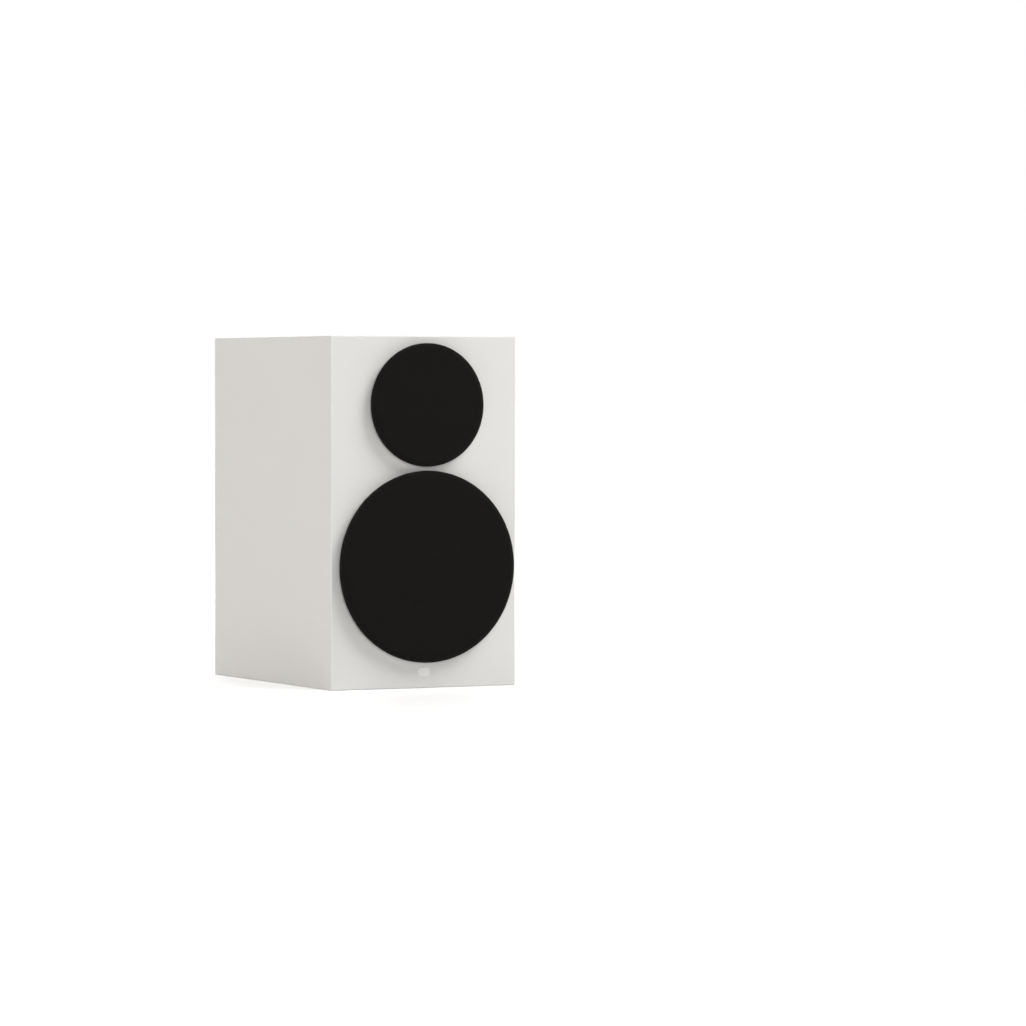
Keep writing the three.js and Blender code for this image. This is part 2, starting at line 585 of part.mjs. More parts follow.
// Grilles: cloth stretched over a plastic hoop. A magnetic strip under the hoop holds on to the
// driver's steel ring, so each grille pulls straight off.
function addGrille(name, radius, z, rounds) {
  const grille = new THREE.Group();
  grille.name = name;
  grille.position.set(0, FRONT_Y, z);
  grille.rotation.x = Math.PI;
  speaker.add(grille);
  const edge = (r, top, width, depth) => [1, 2 / 3, 1 / 3, 0].map((share) => {
    const angle = (Math.PI / 2) * share;
    return [r - width + width * Math.cos(angle), top - depth + depth * Math.sin(angle)];
  });
  const innerEdgeWidth = GRILLE_EDGE_WIDTH - CLOTH_THICKNESS;
  const innerEdgeDepth = GRILLE_EDGE_DEPTH - CLOTH_THICKNESS;
  const inside = radius - CLOTH_THICKNESS;
  grille.add(piece(`${name}_cloth`, clean(turned([
    [0, GRILLE_DEPTH],
    ...edge(radius, GRILLE_DEPTH, GRILLE_EDGE_WIDTH, GRILLE_EDGE_DEPTH),
    [radius, GRILLE_STANDOFF],
    [inside, GRILLE_STANDOFF],
    ...edge(inside, GRILLE_DEPTH - CLOTH_THICKNESS, innerEdgeWidth, innerEdgeDepth).reverse(),
    [0, GRILLE_DEPTH - CLOTH_THICKNESS],
  ], rounds)), CLOTH));
  const hoopOuter = inside - GLUE_GAP;
  const hoopInner = hoopOuter - HOOP_WIDTH;
  const hoopBack = TRIM_HEIGHT + MAGNET_STRIP_HEIGHT;
  const hoopFront = GRILLE_DEPTH - CLOTH_THICKNESS - GLUE_GAP;
  const cornerShare = 0.3;
  grille.add(piece(`${name}_hoop`, clean(turned([
    [hoopInner, hoopBack],
    [hoopOuter, hoopBack],
    [hoopOuter, hoopFront - innerEdgeDepth],
    [hoopOuter - innerEdgeWidth * cornerShare, hoopFront - innerEdgeDepth * cornerShare],
    [hoopOuter - innerEdgeWidth, hoopFront],
    [hoopInner, hoopFront],
  ], rounds)), HOOP_PLASTIC));
  grille.add(piece(`${name}_magnet_strip`, clean(washer(
    hoopInner, hoopInner + MAGNET_STRIP_WIDTH, TRIM_HEIGHT, hoopBack, rounds,
  )), MAGNET_RUBBER));
}
addGrille('woofer_grille', WOOFER_GRILLE_RADIUS, WOOFER_Z, BIG_ROUND);
addGrille('tweeter_grille', TWEETER_GRILLE_RADIUS, TWEETER_Z, MIDDLE_ROUND);

// Port: pushed in from behind, its flange flat on the back board.
const portInner = BACK_Y + PORT_FLANGE_HEIGHT - PORT_LENGTH;
const portTop = BACK_Y + PORT_FLANGE_HEIGHT;
const port = piece('port_tube', clean(turned([
  [PORT_RADIUS + 14.5, portTop],
  [PORT_RADIUS + 9, BACK_Y + 0.8],
  [PORT_RADIUS + 4.5, BACK_Y - 4],
  [PORT_RADIUS + 1.3, BACK_Y - 12],
  [PORT_RADIUS, BACK_Y - 22],
  [PORT_RADIUS, portInner + 14],
  [PORT_RADIUS + 2.5, portInner + 5],
  [PORT_RADIUS + 8, portInner],
  [PORT_RADIUS + 9.5, portInner + 1.5],
  [PORT_OUTER + 2.4, portInner + 7],
  [PORT_OUTER, portInner + 16],
  [PORT_OUTER, BACK_Y - 20],
  [PORT_HOLE_RADIUS - HOLE_CLEARANCE, BACK_Y - 10],
  [PORT_HOLE_RADIUS - HOLE_CLEARANCE, BACK_Y],
  [PORT_FLANGE_RADIUS, BACK_Y],
  [PORT_FLANGE_RADIUS, BACK_Y + 1.5],
  [PORT_FLANGE_RADIUS - 1.5, portTop],
], MIDDLE_ROUND)), BLACK_PLASTIC);
port.position.z = PORT_HEIGHT;
speaker.add(port);

// Terminal cup: a moulded recess screwed to the back board, with two binding posts through its floor.
const terminals = new THREE.Group();
terminals.name = 'terminals';
terminals.position.z = CUP_HEIGHT;
speaker.add(terminals);

const STUD_RADIUS = 3;
const postPlaces = [['black', -POST_SPACING / 2], ['red', POST_SPACING / 2]];
const cupShell = toManifold(slab(
  roundedRectangle(CUP_WIDTH, CUP_TALL, CUP_CORNER + 3), BACK_Y, BACK_Y + CUP_FLANGE_HEIGHT,
)).add(toManifold(slab(cupBody(0), CUP_FLOOR_Y - CUP_WALL, BACK_Y + 1)));
const cupTools = [
  slab(cupBody(-CUP_WALL), CUP_FLOOR_Y, BACK_Y + CUP_FLANGE_HEIGHT + 1),
  ...postPlaces.map(([, x]) =>
    plug(STUD_RADIUS + HOLE_CLEARANCE, CUP_FLOOR_Y - CUP_WALL - 1, CUP_FLOOR_Y + 1, SCREW_ROUND + 2)
      .translate(x, 0, 0)),
  ...cupScrewPlaces.map(([x, z]) =>
    plug(CUP_SCREW_SHANK + SCREW_CLEARANCE, BACK_Y - 1, BACK_Y + CUP_FLANGE_HEIGHT + 1, SCREW_ROUND)
      .translate(x, 0, z)),
];
terminals.add(piece('terminal_cup', cut(toGeometry(cupShell), cupTools), BLACK_PLASTIC));
cupScrewPlaces.forEach(([x, z], i) => {
  const top = BACK_Y + CUP_FLANGE_HEIGHT;
  const screw = piece(`cup_screw_${i + 1}`, clean(turned([
    [0, BACK_Y - PANEL_THICKNESS + 4],
    [CUP_SCREW_SHANK, BACK_Y - PANEL_THICKNESS + 5.5],
    [CUP_SCREW_SHANK, top],
    [CUP_SCREW_HEAD, top],
    [CUP_SCREW_HEAD - 1, top + 1.6],
    [0, top + 2],
  ], SCREW_ROUND)), ZINC_STEEL);
  screw.position.set(x, 0, z);
  terminals.add(screw);
});

// Binding posts: a hollow stud with its nut, a collar, a clamp washer and a knurled cap on the thread.
const COLLAR_HEIGHT = 8;
const CLAMP_WASHER_HEIGHT = 1.5;
const CAP_LENGTH = 17.5;
const BANANA_RADIUS = 2.05;
const BANANA_DEPTH = 16;
const NUT_RADIUS = 5.5;
const BOARD_THICKNESS = 1.6;
const BOARD_STANDOFF = 7.4;
const PIN_RADIUS = 2.5;
const boardBack = CUP_FLOOR_Y - CUP_WALL - BOARD_STANDOFF;
const boardFront = boardBack - BOARD_THICKNESS;
const washerY = CUP_FLOOR_Y + COLLAR_HEIGHT;
const capY = washerY + CLAMP_WASHER_HEIGHT;
const studTop = capY + CAP_LENGTH - 0.5;
const KNURLS = 18;
function knurledSleeve() {
  const shape = new THREE.Shape();
  for (let i = 0; i < 2 * KNURLS; i += 1) {
    const angle = (Math.PI * i) / KNURLS;
    const r = POST_CAP_RADIUS - (i % 2 ? 0.7 : 0);
    shape[i ? 'lineTo' : 'moveTo'](r * Math.cos(angle), r * Math.sin(angle));
  }
  shape.closePath();
  const bore = new THREE.Path();
  bore.absarc(0, 0, STUD_RADIUS + HOLE_CLEARANCE, 0, 2 * Math.PI, true);
  shape.holes.push(bore);
  return slab(shape, capY, capY + CAP_LENGTH, 6);
}
for (const [colour, x] of postPlaces) {
  const accent = colour === 'red' ? RED_PLASTIC : BLACK_PLASTIC;
  const post = new THREE.Group();
  post.name = `${colour}_post`;
  post.position.x = x;
  terminals.add(post);
  post.add(piece(`${colour}_post_stud`, clean(turned([
    [0, boardFront - 2.5],
    [PIN_RADIUS, boardFront - 2.5],
    [PIN_RADIUS, boardBack],
    [NUT_RADIUS, boardBack],
    [NUT_RADIUS, CUP_FLOOR_Y - CUP_WALL],
    [STUD_RADIUS, CUP_FLOOR_Y - CUP_WALL],
    [STUD_RADIUS, studTop],
    [BANANA_RADIUS, studTop],
    [BANANA_RADIUS, studTop - BANANA_DEPTH],
    [0, studTop - BANANA_DEPTH],
  ], SCREW_ROUND + 2)), GOLD));
  post.add(piece(`${colour}_post_collar`, clean(washer(
    STUD_RADIUS + HOLE_CLEARANCE, POST_CAP_RADIUS + 0.8, CUP_FLOOR_Y, washerY, SMALL_ROUND,
  )), accent));
  post.add(piece(`${colour}_post_washer`, clean(washer(
    STUD_RADIUS + HOLE_CLEARANCE, POST_CAP_RADIUS - 0.5, washerY, capY, SMALL_ROUND,
  )), GOLD));
  post.add(piece(`${colour}_post_cap`, clean(knurledSleeve()), accent));
}

// Crossover: a circuit board carried on the posts' nuts, with the woofer's coil and the tweeter's
// capacitor facing forward.
const BOARD_WIDTH = 112;
const BOARD_TALL = 80;
const COIL_OUTER = 17;
const COIL_INNER = 7;
const COIL_HEIGHT = 18;
const CAPACITOR_RADIUS = 9;
const CAPACITOR_LENGTH = 36;
terminals.add(piece('crossover_board', cut(
  block([-BOARD_WIDTH / 2, boardFront, -BOARD_TALL / 2], [BOARD_WIDTH / 2, boardBack, BOARD_TALL / 2]),
  postPlaces.map(([, x]) =>
    plug(PIN_RADIUS + HOLE_CLEARANCE, boardFront - 1, boardBack + 1, SCREW_ROUND + 2).translate(x, 0, 0)),
), CIRCUIT));
const coil = piece('crossover_coil', clean(
  washer(COIL_INNER, COIL_OUTER, boardFront - COIL_HEIGHT, boardFront, SMALL_ROUND),
), COPPER);
coil.position.set(-BOARD_WIDTH / 2 + COIL_OUTER + 3, 0, BOARD_TALL / 2 - COIL_OUTER - 3);
terminals.add(coil);
const capacitor = piece('crossover_capacitor', clean(
  new THREE.CylinderGeometry(CAPACITOR_RADIUS, CAPACITOR_RADIUS, CAPACITOR_LENGTH, SCREW_ROUND + 2)
    .rotateZ(Math.PI / 2),
), FILM);
capacitor.position.set(
  BOARD_WIDTH / 2 - CAPACITOR_LENGTH / 2 - 8,
  boardFront - CAPACITOR_RADIUS - GLUE_GAP,
  -BOARD_TALL / 2 + CAPACITOR_RADIUS + 5,
);
terminals.add(capacitor);

// Leads: flat twin cable from the crossover to the back of each driver.
const LEAD_WIDTH = 5;
const LEAD_THICKNESS = 2.4;
function lead(name, places, steps) {
  const path = new THREE.CatmullRomCurve3(places.map((p) => new THREE.Vector3(...p)), false, 'centripetal');
  const shape = new THREE.Shape();
  const [w, t] = [LEAD_WIDTH / 2, LEAD_THICKNESS / 2];
  shape.moveTo(w, -t / 2).lineTo(w, t / 2).lineTo(w - t / 2, t).lineTo(-w + t / 2, t);
  shape.lineTo(-w, t / 2).lineTo(-w, -t / 2).lineTo(-w + t / 2, -t).lineTo(w - t / 2, -t).closePath();
  return piece(name, clean(new THREE.ExtrudeGeometry(shape, { steps, extrudePath: path })), LEAD);
}
const leadStart = boardFront - GLUE_GAP;
const leadZ = CUP_HEIGHT + 28;
const wooferBackY = FRONT_Y - BASKET_BACK + GLUE_GAP;
const tweeterBackY = FRONT_Y - tweeterYokeBack + GLUE_GAP;
const tagX = (MOTOR_PLATE_RADIUS + CUP_OUTER) / 2;
speaker.add(lead('woofer_lead', [
  [-6, leadStart, leadZ],
  [-6, leadStart - 8, leadZ],
  [-30, leadStart - 60, leadZ - 4],
  [-tagX - 8, wooferBackY + 70, WOOFER_Z - 12],
  [-tagX - 4, wooferBackY + 25, WOOFER_Z],
  [-tagX, wooferBackY + 6, WOOFER_Z],
  [-tagX, wooferBackY, WOOFER_Z],
], 22));
speaker.add(lead('tweeter_lead', [
  [6, leadStart, leadZ],
  [6, leadStart - 8, leadZ],
  [14, leadStart - 50, leadZ + 40],
  [20, 0, BRACE_BOTTOM - 8],
  [18, -24, BRACE_TOP + 12],
  [15, tweeterBackY + 22, TWEETER_Z],
  [15, tweeterBackY + 6, TWEETER_Z],
  [15, tweeterBackY, TWEETER_Z],
], 24));

export default speaker;
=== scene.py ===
import math

import bmesh
import bpy
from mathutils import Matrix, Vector


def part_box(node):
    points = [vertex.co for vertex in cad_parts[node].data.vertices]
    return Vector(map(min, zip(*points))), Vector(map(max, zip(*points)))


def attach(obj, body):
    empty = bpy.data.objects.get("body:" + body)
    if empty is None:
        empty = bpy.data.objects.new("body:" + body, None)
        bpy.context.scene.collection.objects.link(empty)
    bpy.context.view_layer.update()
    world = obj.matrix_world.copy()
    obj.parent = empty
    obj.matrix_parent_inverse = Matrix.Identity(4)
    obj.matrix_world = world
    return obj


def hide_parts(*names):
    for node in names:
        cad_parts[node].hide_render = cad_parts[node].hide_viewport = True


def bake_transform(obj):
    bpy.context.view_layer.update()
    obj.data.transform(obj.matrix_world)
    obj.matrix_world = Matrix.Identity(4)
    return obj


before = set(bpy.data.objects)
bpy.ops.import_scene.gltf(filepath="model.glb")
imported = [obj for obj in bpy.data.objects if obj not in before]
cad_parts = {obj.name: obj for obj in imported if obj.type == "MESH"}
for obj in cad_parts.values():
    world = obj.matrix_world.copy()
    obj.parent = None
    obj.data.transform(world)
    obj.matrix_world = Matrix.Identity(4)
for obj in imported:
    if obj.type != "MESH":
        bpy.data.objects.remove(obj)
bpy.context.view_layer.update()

# Viewpoint and room: a level, long-lens view from the left of the speaker's front, over a plain
# pale floor, under a large softbox at the upper right with softer fills in front, left and behind.
camera_data = bpy.data.cameras.new("viewpoint")
camera_data.sensor_width = 36
camera_data.lens = 163.96
camera_data.shift_y = -0.125
camera_data.clip_end = 200
camera = bpy.data.objects.new("viewpoint", camera_data)
camera.location = (-2.1502, -4.6701, 0.3241)
camera.rotation_euler = (math.radians(90), 0, math.radians(-26.57))
bpy.context.scene.collection.objects.link(camera)
bpy.context.scene.camera = camera
bpy.context.scene.view_settings.view_transform = "Standard"


def put(tree, kind, values=None, **settings):
    """Adds a shader or geometry node, with its settings, and its inputs linked or set."""
    made = tree.nodes.new(kind)
    for setting, value in settings.items():
        setattr(made, setting, value)
    for key, value in (values or {}).items():
        if isinstance(value, bpy.types.NodeSocket):
            tree.links.new(value, made.inputs[key])
        else:
            made.inputs[key].default_value = value
    return made


def new_material(name):
    """An empty material and its node tree."""
    material = bpy.data.materials.new(name)
    material.use_nodes = True
    material.node_tree.nodes.clear()
    return material, material.node_tree


def surface(tree, values):
    """The Principled shader at the end of a material."""
    shader = put(tree, "ShaderNodeBsdfPrincipled", values)
    put(tree, "ShaderNodeOutputMaterial", {"Surface": shader.outputs["BSDF"]})
    return shader


floor_paint, tree = new_material("floor paint")
patches = put(tree, "ShaderNodeTexNoise", {"Scale": 3.0, "Detail": 2.0})
tone = put(tree, "ShaderNodeMapRange", {
    "Value": patches.outputs["Fac"], "To Min": 0.40, "To Max": 0.44,
})
eye = put(tree, "ShaderNodeLightPath")
ground = put(tree, "ShaderNodeTexCoord")
away = put(tree, "ShaderNodeVectorMath", {0: ground.outputs["Object"]}, operation="LENGTH")
brim = put(tree, "ShaderNodeMapRange", {
    "Value": away.outputs["Value"], "From Min": 0.3, "From Max": 1.6, "To Min": 0.42, "To Max": 1.0,
})
lift = put(tree, "ShaderNodeMath", {
    0: eye.outputs["Is Camera Ray"], 1: brim.outputs["Result"],
}, operation="MULTIPLY")
surface(tree, {
    "Base Color": (0.84, 0.84, 0.835, 1), "Roughness": tone.outputs["Result"],
    "Emission Color": (1, 1, 1, 1), "Emission Strength": lift.outputs[0],
})
floor_mesh = bpy.data.meshes.new("floor")
reach, floor_top = 60.0, -0.0002
floor_mesh.from_pydata([
    (-reach, -reach, floor_top), (reach, -reach, floor_top),
    (reach, reach, floor_top), (-reach, reach, floor_top),
], [], [(0, 1, 2, 3)])
floor_mesh.materials.append(floor_paint)
floor = bpy.data.objects.new("floor", floor_mesh)
bpy.context.scene.collection.objects.link(floor)

world = bpy.data.worlds.new("white room")
world.use_nodes = True
world.node_tree.nodes.clear()
seen = put(world.node_tree, "ShaderNodeBackground", {"Color": (1, 1, 1, 1), "Strength": 1.0})
glow = put(world.node_tree, "ShaderNodeBackground", {"Color": (1.0, 0.985, 0.965, 1), "Strength": 0.03})
looking = put(world.node_tree, "ShaderNodeLightPath")
mixed = put(world.node_tree, "ShaderNodeMixShader", {
    0: looking.outputs["Is Camera Ray"], 1: glow.outputs[0], 2: seen.outputs[0],
})
put(world.node_tree, "ShaderNodeOutputWorld", {"Surface": mixed.outputs[0]})
bpy.context.scene.world = world


def lamp(name, place, width, watts, warmth):
    """A round softbox turned to the middle of the speaker."""
    data = bpy.data.lights.new(name, "AREA")
    data.shape, data.size, data.energy, data.color = "DISK", width, watts, warmth
    made = bpy.data.objects.new(name, data)
    made.location = place
    aim = Vector((0, 0, 0.2)) - Vector(place)
    made.rotation_euler = aim.to_track_quat("-Z", "Y").to_euler()
    bpy.context.scene.collection.objects.link(made)


lamp("key softbox", (1.37, -1.66, 2.67), 2.2, 69, (1.0, 0.995, 0.985))
lamp("front fill", (-2.23, -5.9, 0.84), 2.4, 138, (1.0, 0.995, 0.997))
lamp("left fill", (-3.7, 0.7, 2.3), 2.0, 86, (1.0, 0.98, 0.955))
lamp("back fill", (1.3, 3.0, 2.9), 2.0, 92, (1.0, 0.99, 0.98))

# Cabinet: six fibreboard panels glued square, filled and sprayed as one with satin white lacquer.
# The front and back boards cap the sides; only the outside arrises are eased, by about a millimetre.
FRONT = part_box("front_baffle")[0]
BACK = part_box("rear_panel")[1]
EASED = 0.0011


def group(name, inputs, outputs, kind="ShaderNodeTree"):
    """A node group with named inputs and outputs, and its two end nodes."""
    made = bpy.data.node_groups.new(name, kind)
    for label, socket_kind, value in inputs:
        socket = made.interface.new_socket(label, in_out="INPUT", socket_type=socket_kind)
        if value is not None:
            socket.default_value = value
    for label, socket_kind in outputs:
        made.interface.new_socket(label, in_out="OUTPUT", socket_type=socket_kind)
    return made, put(made, "NodeGroupInput"), put(made, "NodeGroupOutput")


def use(tree, shared, values):
    """Places a shared group in a material with its own values."""
    return put(tree, "ShaderNodeGroup", values, node_tree=shared)


def blended(tree, share, dark, light):
    """A colour between two, as the share says."""
    return put(tree, "ShaderNodeMix", {
        0: share, 6: (*dark, 1), 7: (*light, 1),
    }, data_type="RGBA").outputs[2]


# Fine grain, shared by lacquer, mouldings, castings and coatings: a small relief and a slow mottle.
fine_grain, ends, out = group(
    "fine grain",
    [("Grain per metre", "NodeSocketFloat", 900.0), ("Mottle per metre", "NodeSocketFloat", 14.0),
     ("Sharpness", "NodeSocketFloat", 0.5)],
    [("Relief", "NodeSocketFloat"), ("Mottle", "NodeSocketFloat")],
)
place = put(fine_grain, "ShaderNodeTexCoord")
speck = put(fine_grain, "ShaderNodeTexNoise", {
    "Vector": place.outputs["Object"], "Scale": ends.outputs["Grain per metre"], "Detail": 3.0,
    "Roughness": ends.outputs["Sharpness"],
})
slow = put(fine_grain, "ShaderNodeTexNoise", {
    "Vector": place.outputs["Object"], "Scale": ends.outputs["Mottle per metre"], "Detail": 4.0,
    "Roughness": 0.55,
})
fine_grain.links.new(speck.outputs["Fac"], out.inputs["Relief"])
fine_grain.links.new(slow.outputs["Fac"], out.inputs["Mottle"])

# Settled dust, shared by everything that faces up: a faint mask broken up by noise.
dust, ends, out = group(
    "settled dust",
    [("Amount", "NodeSocketFloat", 0.2), ("Clumps per metre", "NodeSocketFloat", 260.0)],
    [("Mask", "NodeSocketFloat")],
)
place = put(dust, "ShaderNodeTexCoord")
facing = put(dust, "ShaderNodeNewGeometry")
upward = put(dust, "ShaderNodeSeparateXYZ", {"Vector": facing.outputs["Normal"]})
lying = put(dust, "ShaderNodeMapRange", {
    "Value": upward.outputs["Z"], "From Min": 0.3, "From Max": 1.0,
})
clumps = put(dust, "ShaderNodeTexNoise", {
    "Vector": place.outputs["Object"], "Scale": ends.outputs["Clumps per metre"], "Detail": 5.0,
})
broken = put(dust, "ShaderNodeMapRange", {
    "Value": clumps.outputs["Fac"], "From Min": 0.45, "From Max": 0.8,
})
thin = put(dust, "ShaderNodeMath", {
    0: lying.outputs["Result"], 1: broken.outputs["Result"],
}, operation="MULTIPLY")
laid = put(dust, "ShaderNodeMath", {0: thin.outputs[0], 1: ends.outputs["Amount"]}, operation="MULTIPLY")
dust.links.new(laid.outputs[0], out.inputs["Mask"])


def grained(name, light, dark, rough, spread, relief, grain=900.0, mottle=14.0, sharp=0.5,
            dusting=0.0, more=None):
    """A finish that drifts slowly between two colours, with a fine relief and uneven roughness."""
    material, tree = new_material(name)
    skin = use(tree, fine_grain, {
        "Grain per metre": grain, "Mottle per metre": mottle, "Sharpness": sharp,
    })
    shade = blended(tree, skin.outputs["Mottle"], dark, light)
    if dusting:
        settled = use(tree, dust, {"Amount": dusting, "Clumps per metre": 300.0})
        shade = put(tree, "ShaderNodeMix", {
            0: settled.outputs["Mask"], 6: shade, 7: (0.62, 0.60, 0.57, 1),
        }, data_type="RGBA").outputs[2]
    gloss = put(tree, "ShaderNodeMapRange", {
        "Value": skin.outputs["Mottle"], "From Min": 0.3, "From Max": 0.7,
        "To Min": rough - spread, "To Max": rough + spread,
    })
    bump = put(tree, "ShaderNodeBump", {
        "Strength": 1.0, "Distance": relief, "Height": skin.outputs["Relief"],
    })
    surface(tree, {
        "Base Color": shade, "Roughness": gloss.outputs["Result"], "Normal": bump.outputs["Normal"],
        **(more or {}),
    })
    return material


lacquer = grained(
    "satin white lacquer", (0.815, 0.805, 0.785), (0.800, 0.790, 0.768), 0.42, 0.03, 0.00001,
    grain=420.0, mottle=9.0, sharp=0.35, dusting=0.10, more={"Specular IOR Level": 0.42},
)


def finish_mesh(name, mesh_maker, material, smooth_under=32):
    """Makes an object from a bmesh: doubles merged, faces outward, smooth except at real edges."""
    bmesh.ops.remove_doubles(mesh_maker, verts=mesh_maker.verts, dist=1e-6)
    bmesh.ops.recalc_face_normals(mesh_maker, faces=mesh_maker.faces)
    for face in mesh_maker.faces:
        face.smooth = True
    for edge in mesh_maker.edges:
        if len(edge.link_faces) == 2:
            edge.smooth = edge.calc_face_angle(math.pi) < math.radians(smooth_under)
    mesh = bpy.data.meshes.new(name)
    mesh_maker.to_mesh(mesh)
    mesh_maker.free()
    mesh.materials.append(material)
    made = bpy.data.objects.new(name, mesh)
    bpy.context.scene.collection.objects.link(made)
    return made


def stands_for(made, body, slot, *nodes):
    """The piece rides on its body and takes the place of its CAD nodes; its slot is not used."""
    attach(made, body)
    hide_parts(*nodes)
    return made


def rounded_loop(maker, at, width, tall, corner, y, steps=8):
    """A ring of points round a rounded rectangle that stands facing Y."""
    ring = []
    for quarter, (sx, sz) in enumerate(((1, 1), (-1, 1), (-1, -1), (1, -1))):
        for k in range(steps + 1):
            angle = math.pi / 2 * (quarter + k / steps)
            ring.append(maker.verts.new((
                at[0] + sx * (width / 2 - corner) + corner * math.cos(angle), y,
                at[2] + sz * (tall / 2 - corner) + corner * math.sin(angle),
            )))
    return ring


def skinned(name, maker, rings, material, smooth_under):
    """A closed form: each ring of points joined to the next, and both ends capped."""
    for one, two in zip(rings, rings[1:]):
        for k in range(len(one)):
            n = (k + 1) % len(one)
            maker.faces.new((one[k], two[k], two[n], one[n]))
    maker.faces.new(rings[0])
    maker.faces.new(rings[-1])
    return finish_mesh(name, maker, material, smooth_under)


def stacked(name, at, layers, material, smooth_under=32, steps=8):
    """A closed form from rounded rectangles (width, height, corner, y), capped at both ends."""
    maker = bmesh.new()
    rings = [rounded_loop(maker, at, *layer, steps) for layer in layers]
    return skinned(name, maker, rings, material, smooth_under)


def as_mesh(made):
    """The object's plain mesh once its modifiers are applied; they are then dropped."""
    plain = bpy.data.meshes.new_from_object(
        made.evaluated_get(bpy.context.evaluated_depsgraph_get())
    )
    made.modifiers.clear()
    return plain


def settled_shading(made, smooth_under):
    """Creases its edges by angle and lets the broad faces rule the shading beside them."""
    maker = bmesh.new()
    maker.from_mesh(made.data)
    for edge in maker.edges:
        if len(edge.link_faces) == 2:
            edge.smooth = edge.calc_face_angle(math.pi) < math.radians(smooth_under)
    maker.to_mesh(made.data)
    maker.free()
    even = made.modifiers.new("even shading", "WEIGHTED_NORMAL")
    even.keep_sharp, even.weight = True, 100
    made.data = as_mesh(made)


def sawn(made, cutter):
    """Takes the cutter's form out of the object and drops the cutter."""
    saw = made.modifiers.new("hole", "BOOLEAN")
    saw.operation, saw.solver, saw.object = "DIFFERENCE", "EXACT", cutter
    made.data = as_mesh(made)
    bpy.data.objects.remove(cutter)


def board(name, eased_edge, holes=()):
    """A panel the size of its CAD node, eased where eased_edge says, cut by the listed holes."""
    low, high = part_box(name)
    maker = bmesh.new()
    bmesh.ops.create_cube(maker, size=1.0)
    for corner in maker.verts:
        corner.co = Vector([low[i] if corner.co[i] < 0 else high[i] for i in range(3)])
    chosen = [edge for edge in maker.edges if eased_edge((edge.verts[0].co + edge.verts[1].co) / 2)]
    if chosen:
        bmesh.ops.bevel(maker, geom=chosen, offset=EASED, segments=4, profile=0.5, affect="EDGES")
    made = finish_mesh(name + "_painted", maker, lacquer, 40)
    for centre, width, tall, corner in holes:
        sawn(made, stacked("hole", centre, [
            (width, tall, corner, low.y - 0.01), (width, tall, corner, high.y + 0.01),
        ], lacquer, steps=24))
    settled_shading(made, 40)
    return stands_for(made, "cabinet", "cabinet_lacquer", name)


half_width, height = -FRONT.x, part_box("front_baffle")[1].z


def at_outside(point, front=None):
    """How many outside faces of the cabinet the middle of this edge lies on."""
    count = abs(abs(point.x) - half_width) < 1e-4
    count += min(abs(point.z), abs(point.z - height)) < 1e-4
    count += front is not None and abs(point.y - front) < 1e-4
    return count


def middle(node):
    """The middle of a CAD node's box."""
    low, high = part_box(node)
    return (low + high) / 2


def half_across(node):
    """Half of a CAD node's width, which is the radius of a round one."""
    low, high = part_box(node)
    return (high.x - low.x) / 2


def round_hole(centre, radius):
    """A hole for board: a rounded rectangle whose corners meet."""
    return (centre, 2 * radius, 2 * radius, radius)


woofer_at, tweeter_at = middle("woofer_trim_ring"), middle("tweeter_faceplate")
port_at, cup_at = middle("port_tube"), middle("terminal_cup")
driver_lip, port_lip = 0.006, 0.0085
cup_hole_wide, cup_hole_tall, cup_hole_corner = 0.0835, 0.0595, 0.0085
board("front_baffle", lambda p: at_outside(p, FRONT.y) >= 2, [
    round_hole(woofer_at, half_across("woofer_basket") - driver_lip),
    round_hole(tweeter_at, half_across("tweeter_faceplate") - driver_lip),
])
board("rear_panel", lambda p: at_outside(p, BACK.y) >= 2, [
    round_hole(port_at, half_across("port_tube") - port_lip),
    (cup_at, cup_hole_wide, cup_hole_tall, cup_hole_corner),
])
for name in ("left_panel", "right_panel"):
    board(name, lambda p: at_outside(p) >= 2)
for name in ("top_panel", "bottom_panel"):
    board(name, lambda p: False)

# Shelf brace: bare fibreboard glued across the cabinet between the drivers, its sawn faces pale
# brown and slightly furry, with the large air window routed through it.
fibreboard = grained(
    "bare fibreboard", (0.42, 0.29, 0.16), (0.33, 0.22, 0.12), 0.86, 0.04, 0.00012,
    grain=1400.0, mottle=60.0, sharp=0.7,
)


def wear(node, material):
    """Gives a CAD node its own finish."""
    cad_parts[node].data.materials.clear()
    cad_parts[node].data.materials.append(material)


wear("shelf_brace", fibreboard)

# Wadding: a loose polyester fleece pad stapled to each side wall, thick in the middle, thin and
# torn-soft at its edges, with the staples pulling shallow dimples into it.
fleece, tree = new_material("white fleece")
place = put(tree, "ShaderNodeTexCoord")
strands = put(tree, "ShaderNodeTexNoise", {
    "Vector": place.outputs["Object"], "Scale": 520.0, "Detail": 8.0, "Roughness": 0.75,
    "Distortion": 2.5,
})
tufts = put(tree, "ShaderNodeTexNoise", {"Vector": place.outputs["Object"], "Scale": 45.0, "Detail": 3.0})
pile = put(tree, "ShaderNodeMath", {0: strands.outputs["Fac"], 1: tufts.outputs["Fac"]}, operation="ADD")
tone = blended(tree, strands.outputs["Fac"], (0.52, 0.51, 0.48), (0.80, 0.79, 0.75))
bump = put(tree, "ShaderNodeBump", {"Strength": 0.8, "Distance": 0.0012, "Height": pile.outputs[0]})
surface(tree, {
    "Base Color": tone, "Roughness": 1.0, "Normal": bump.outputs["Normal"],
    "Sheen Weight": 0.4, "Sheen Roughness": 0.6, "Specular IOR Level": 0.1,
})


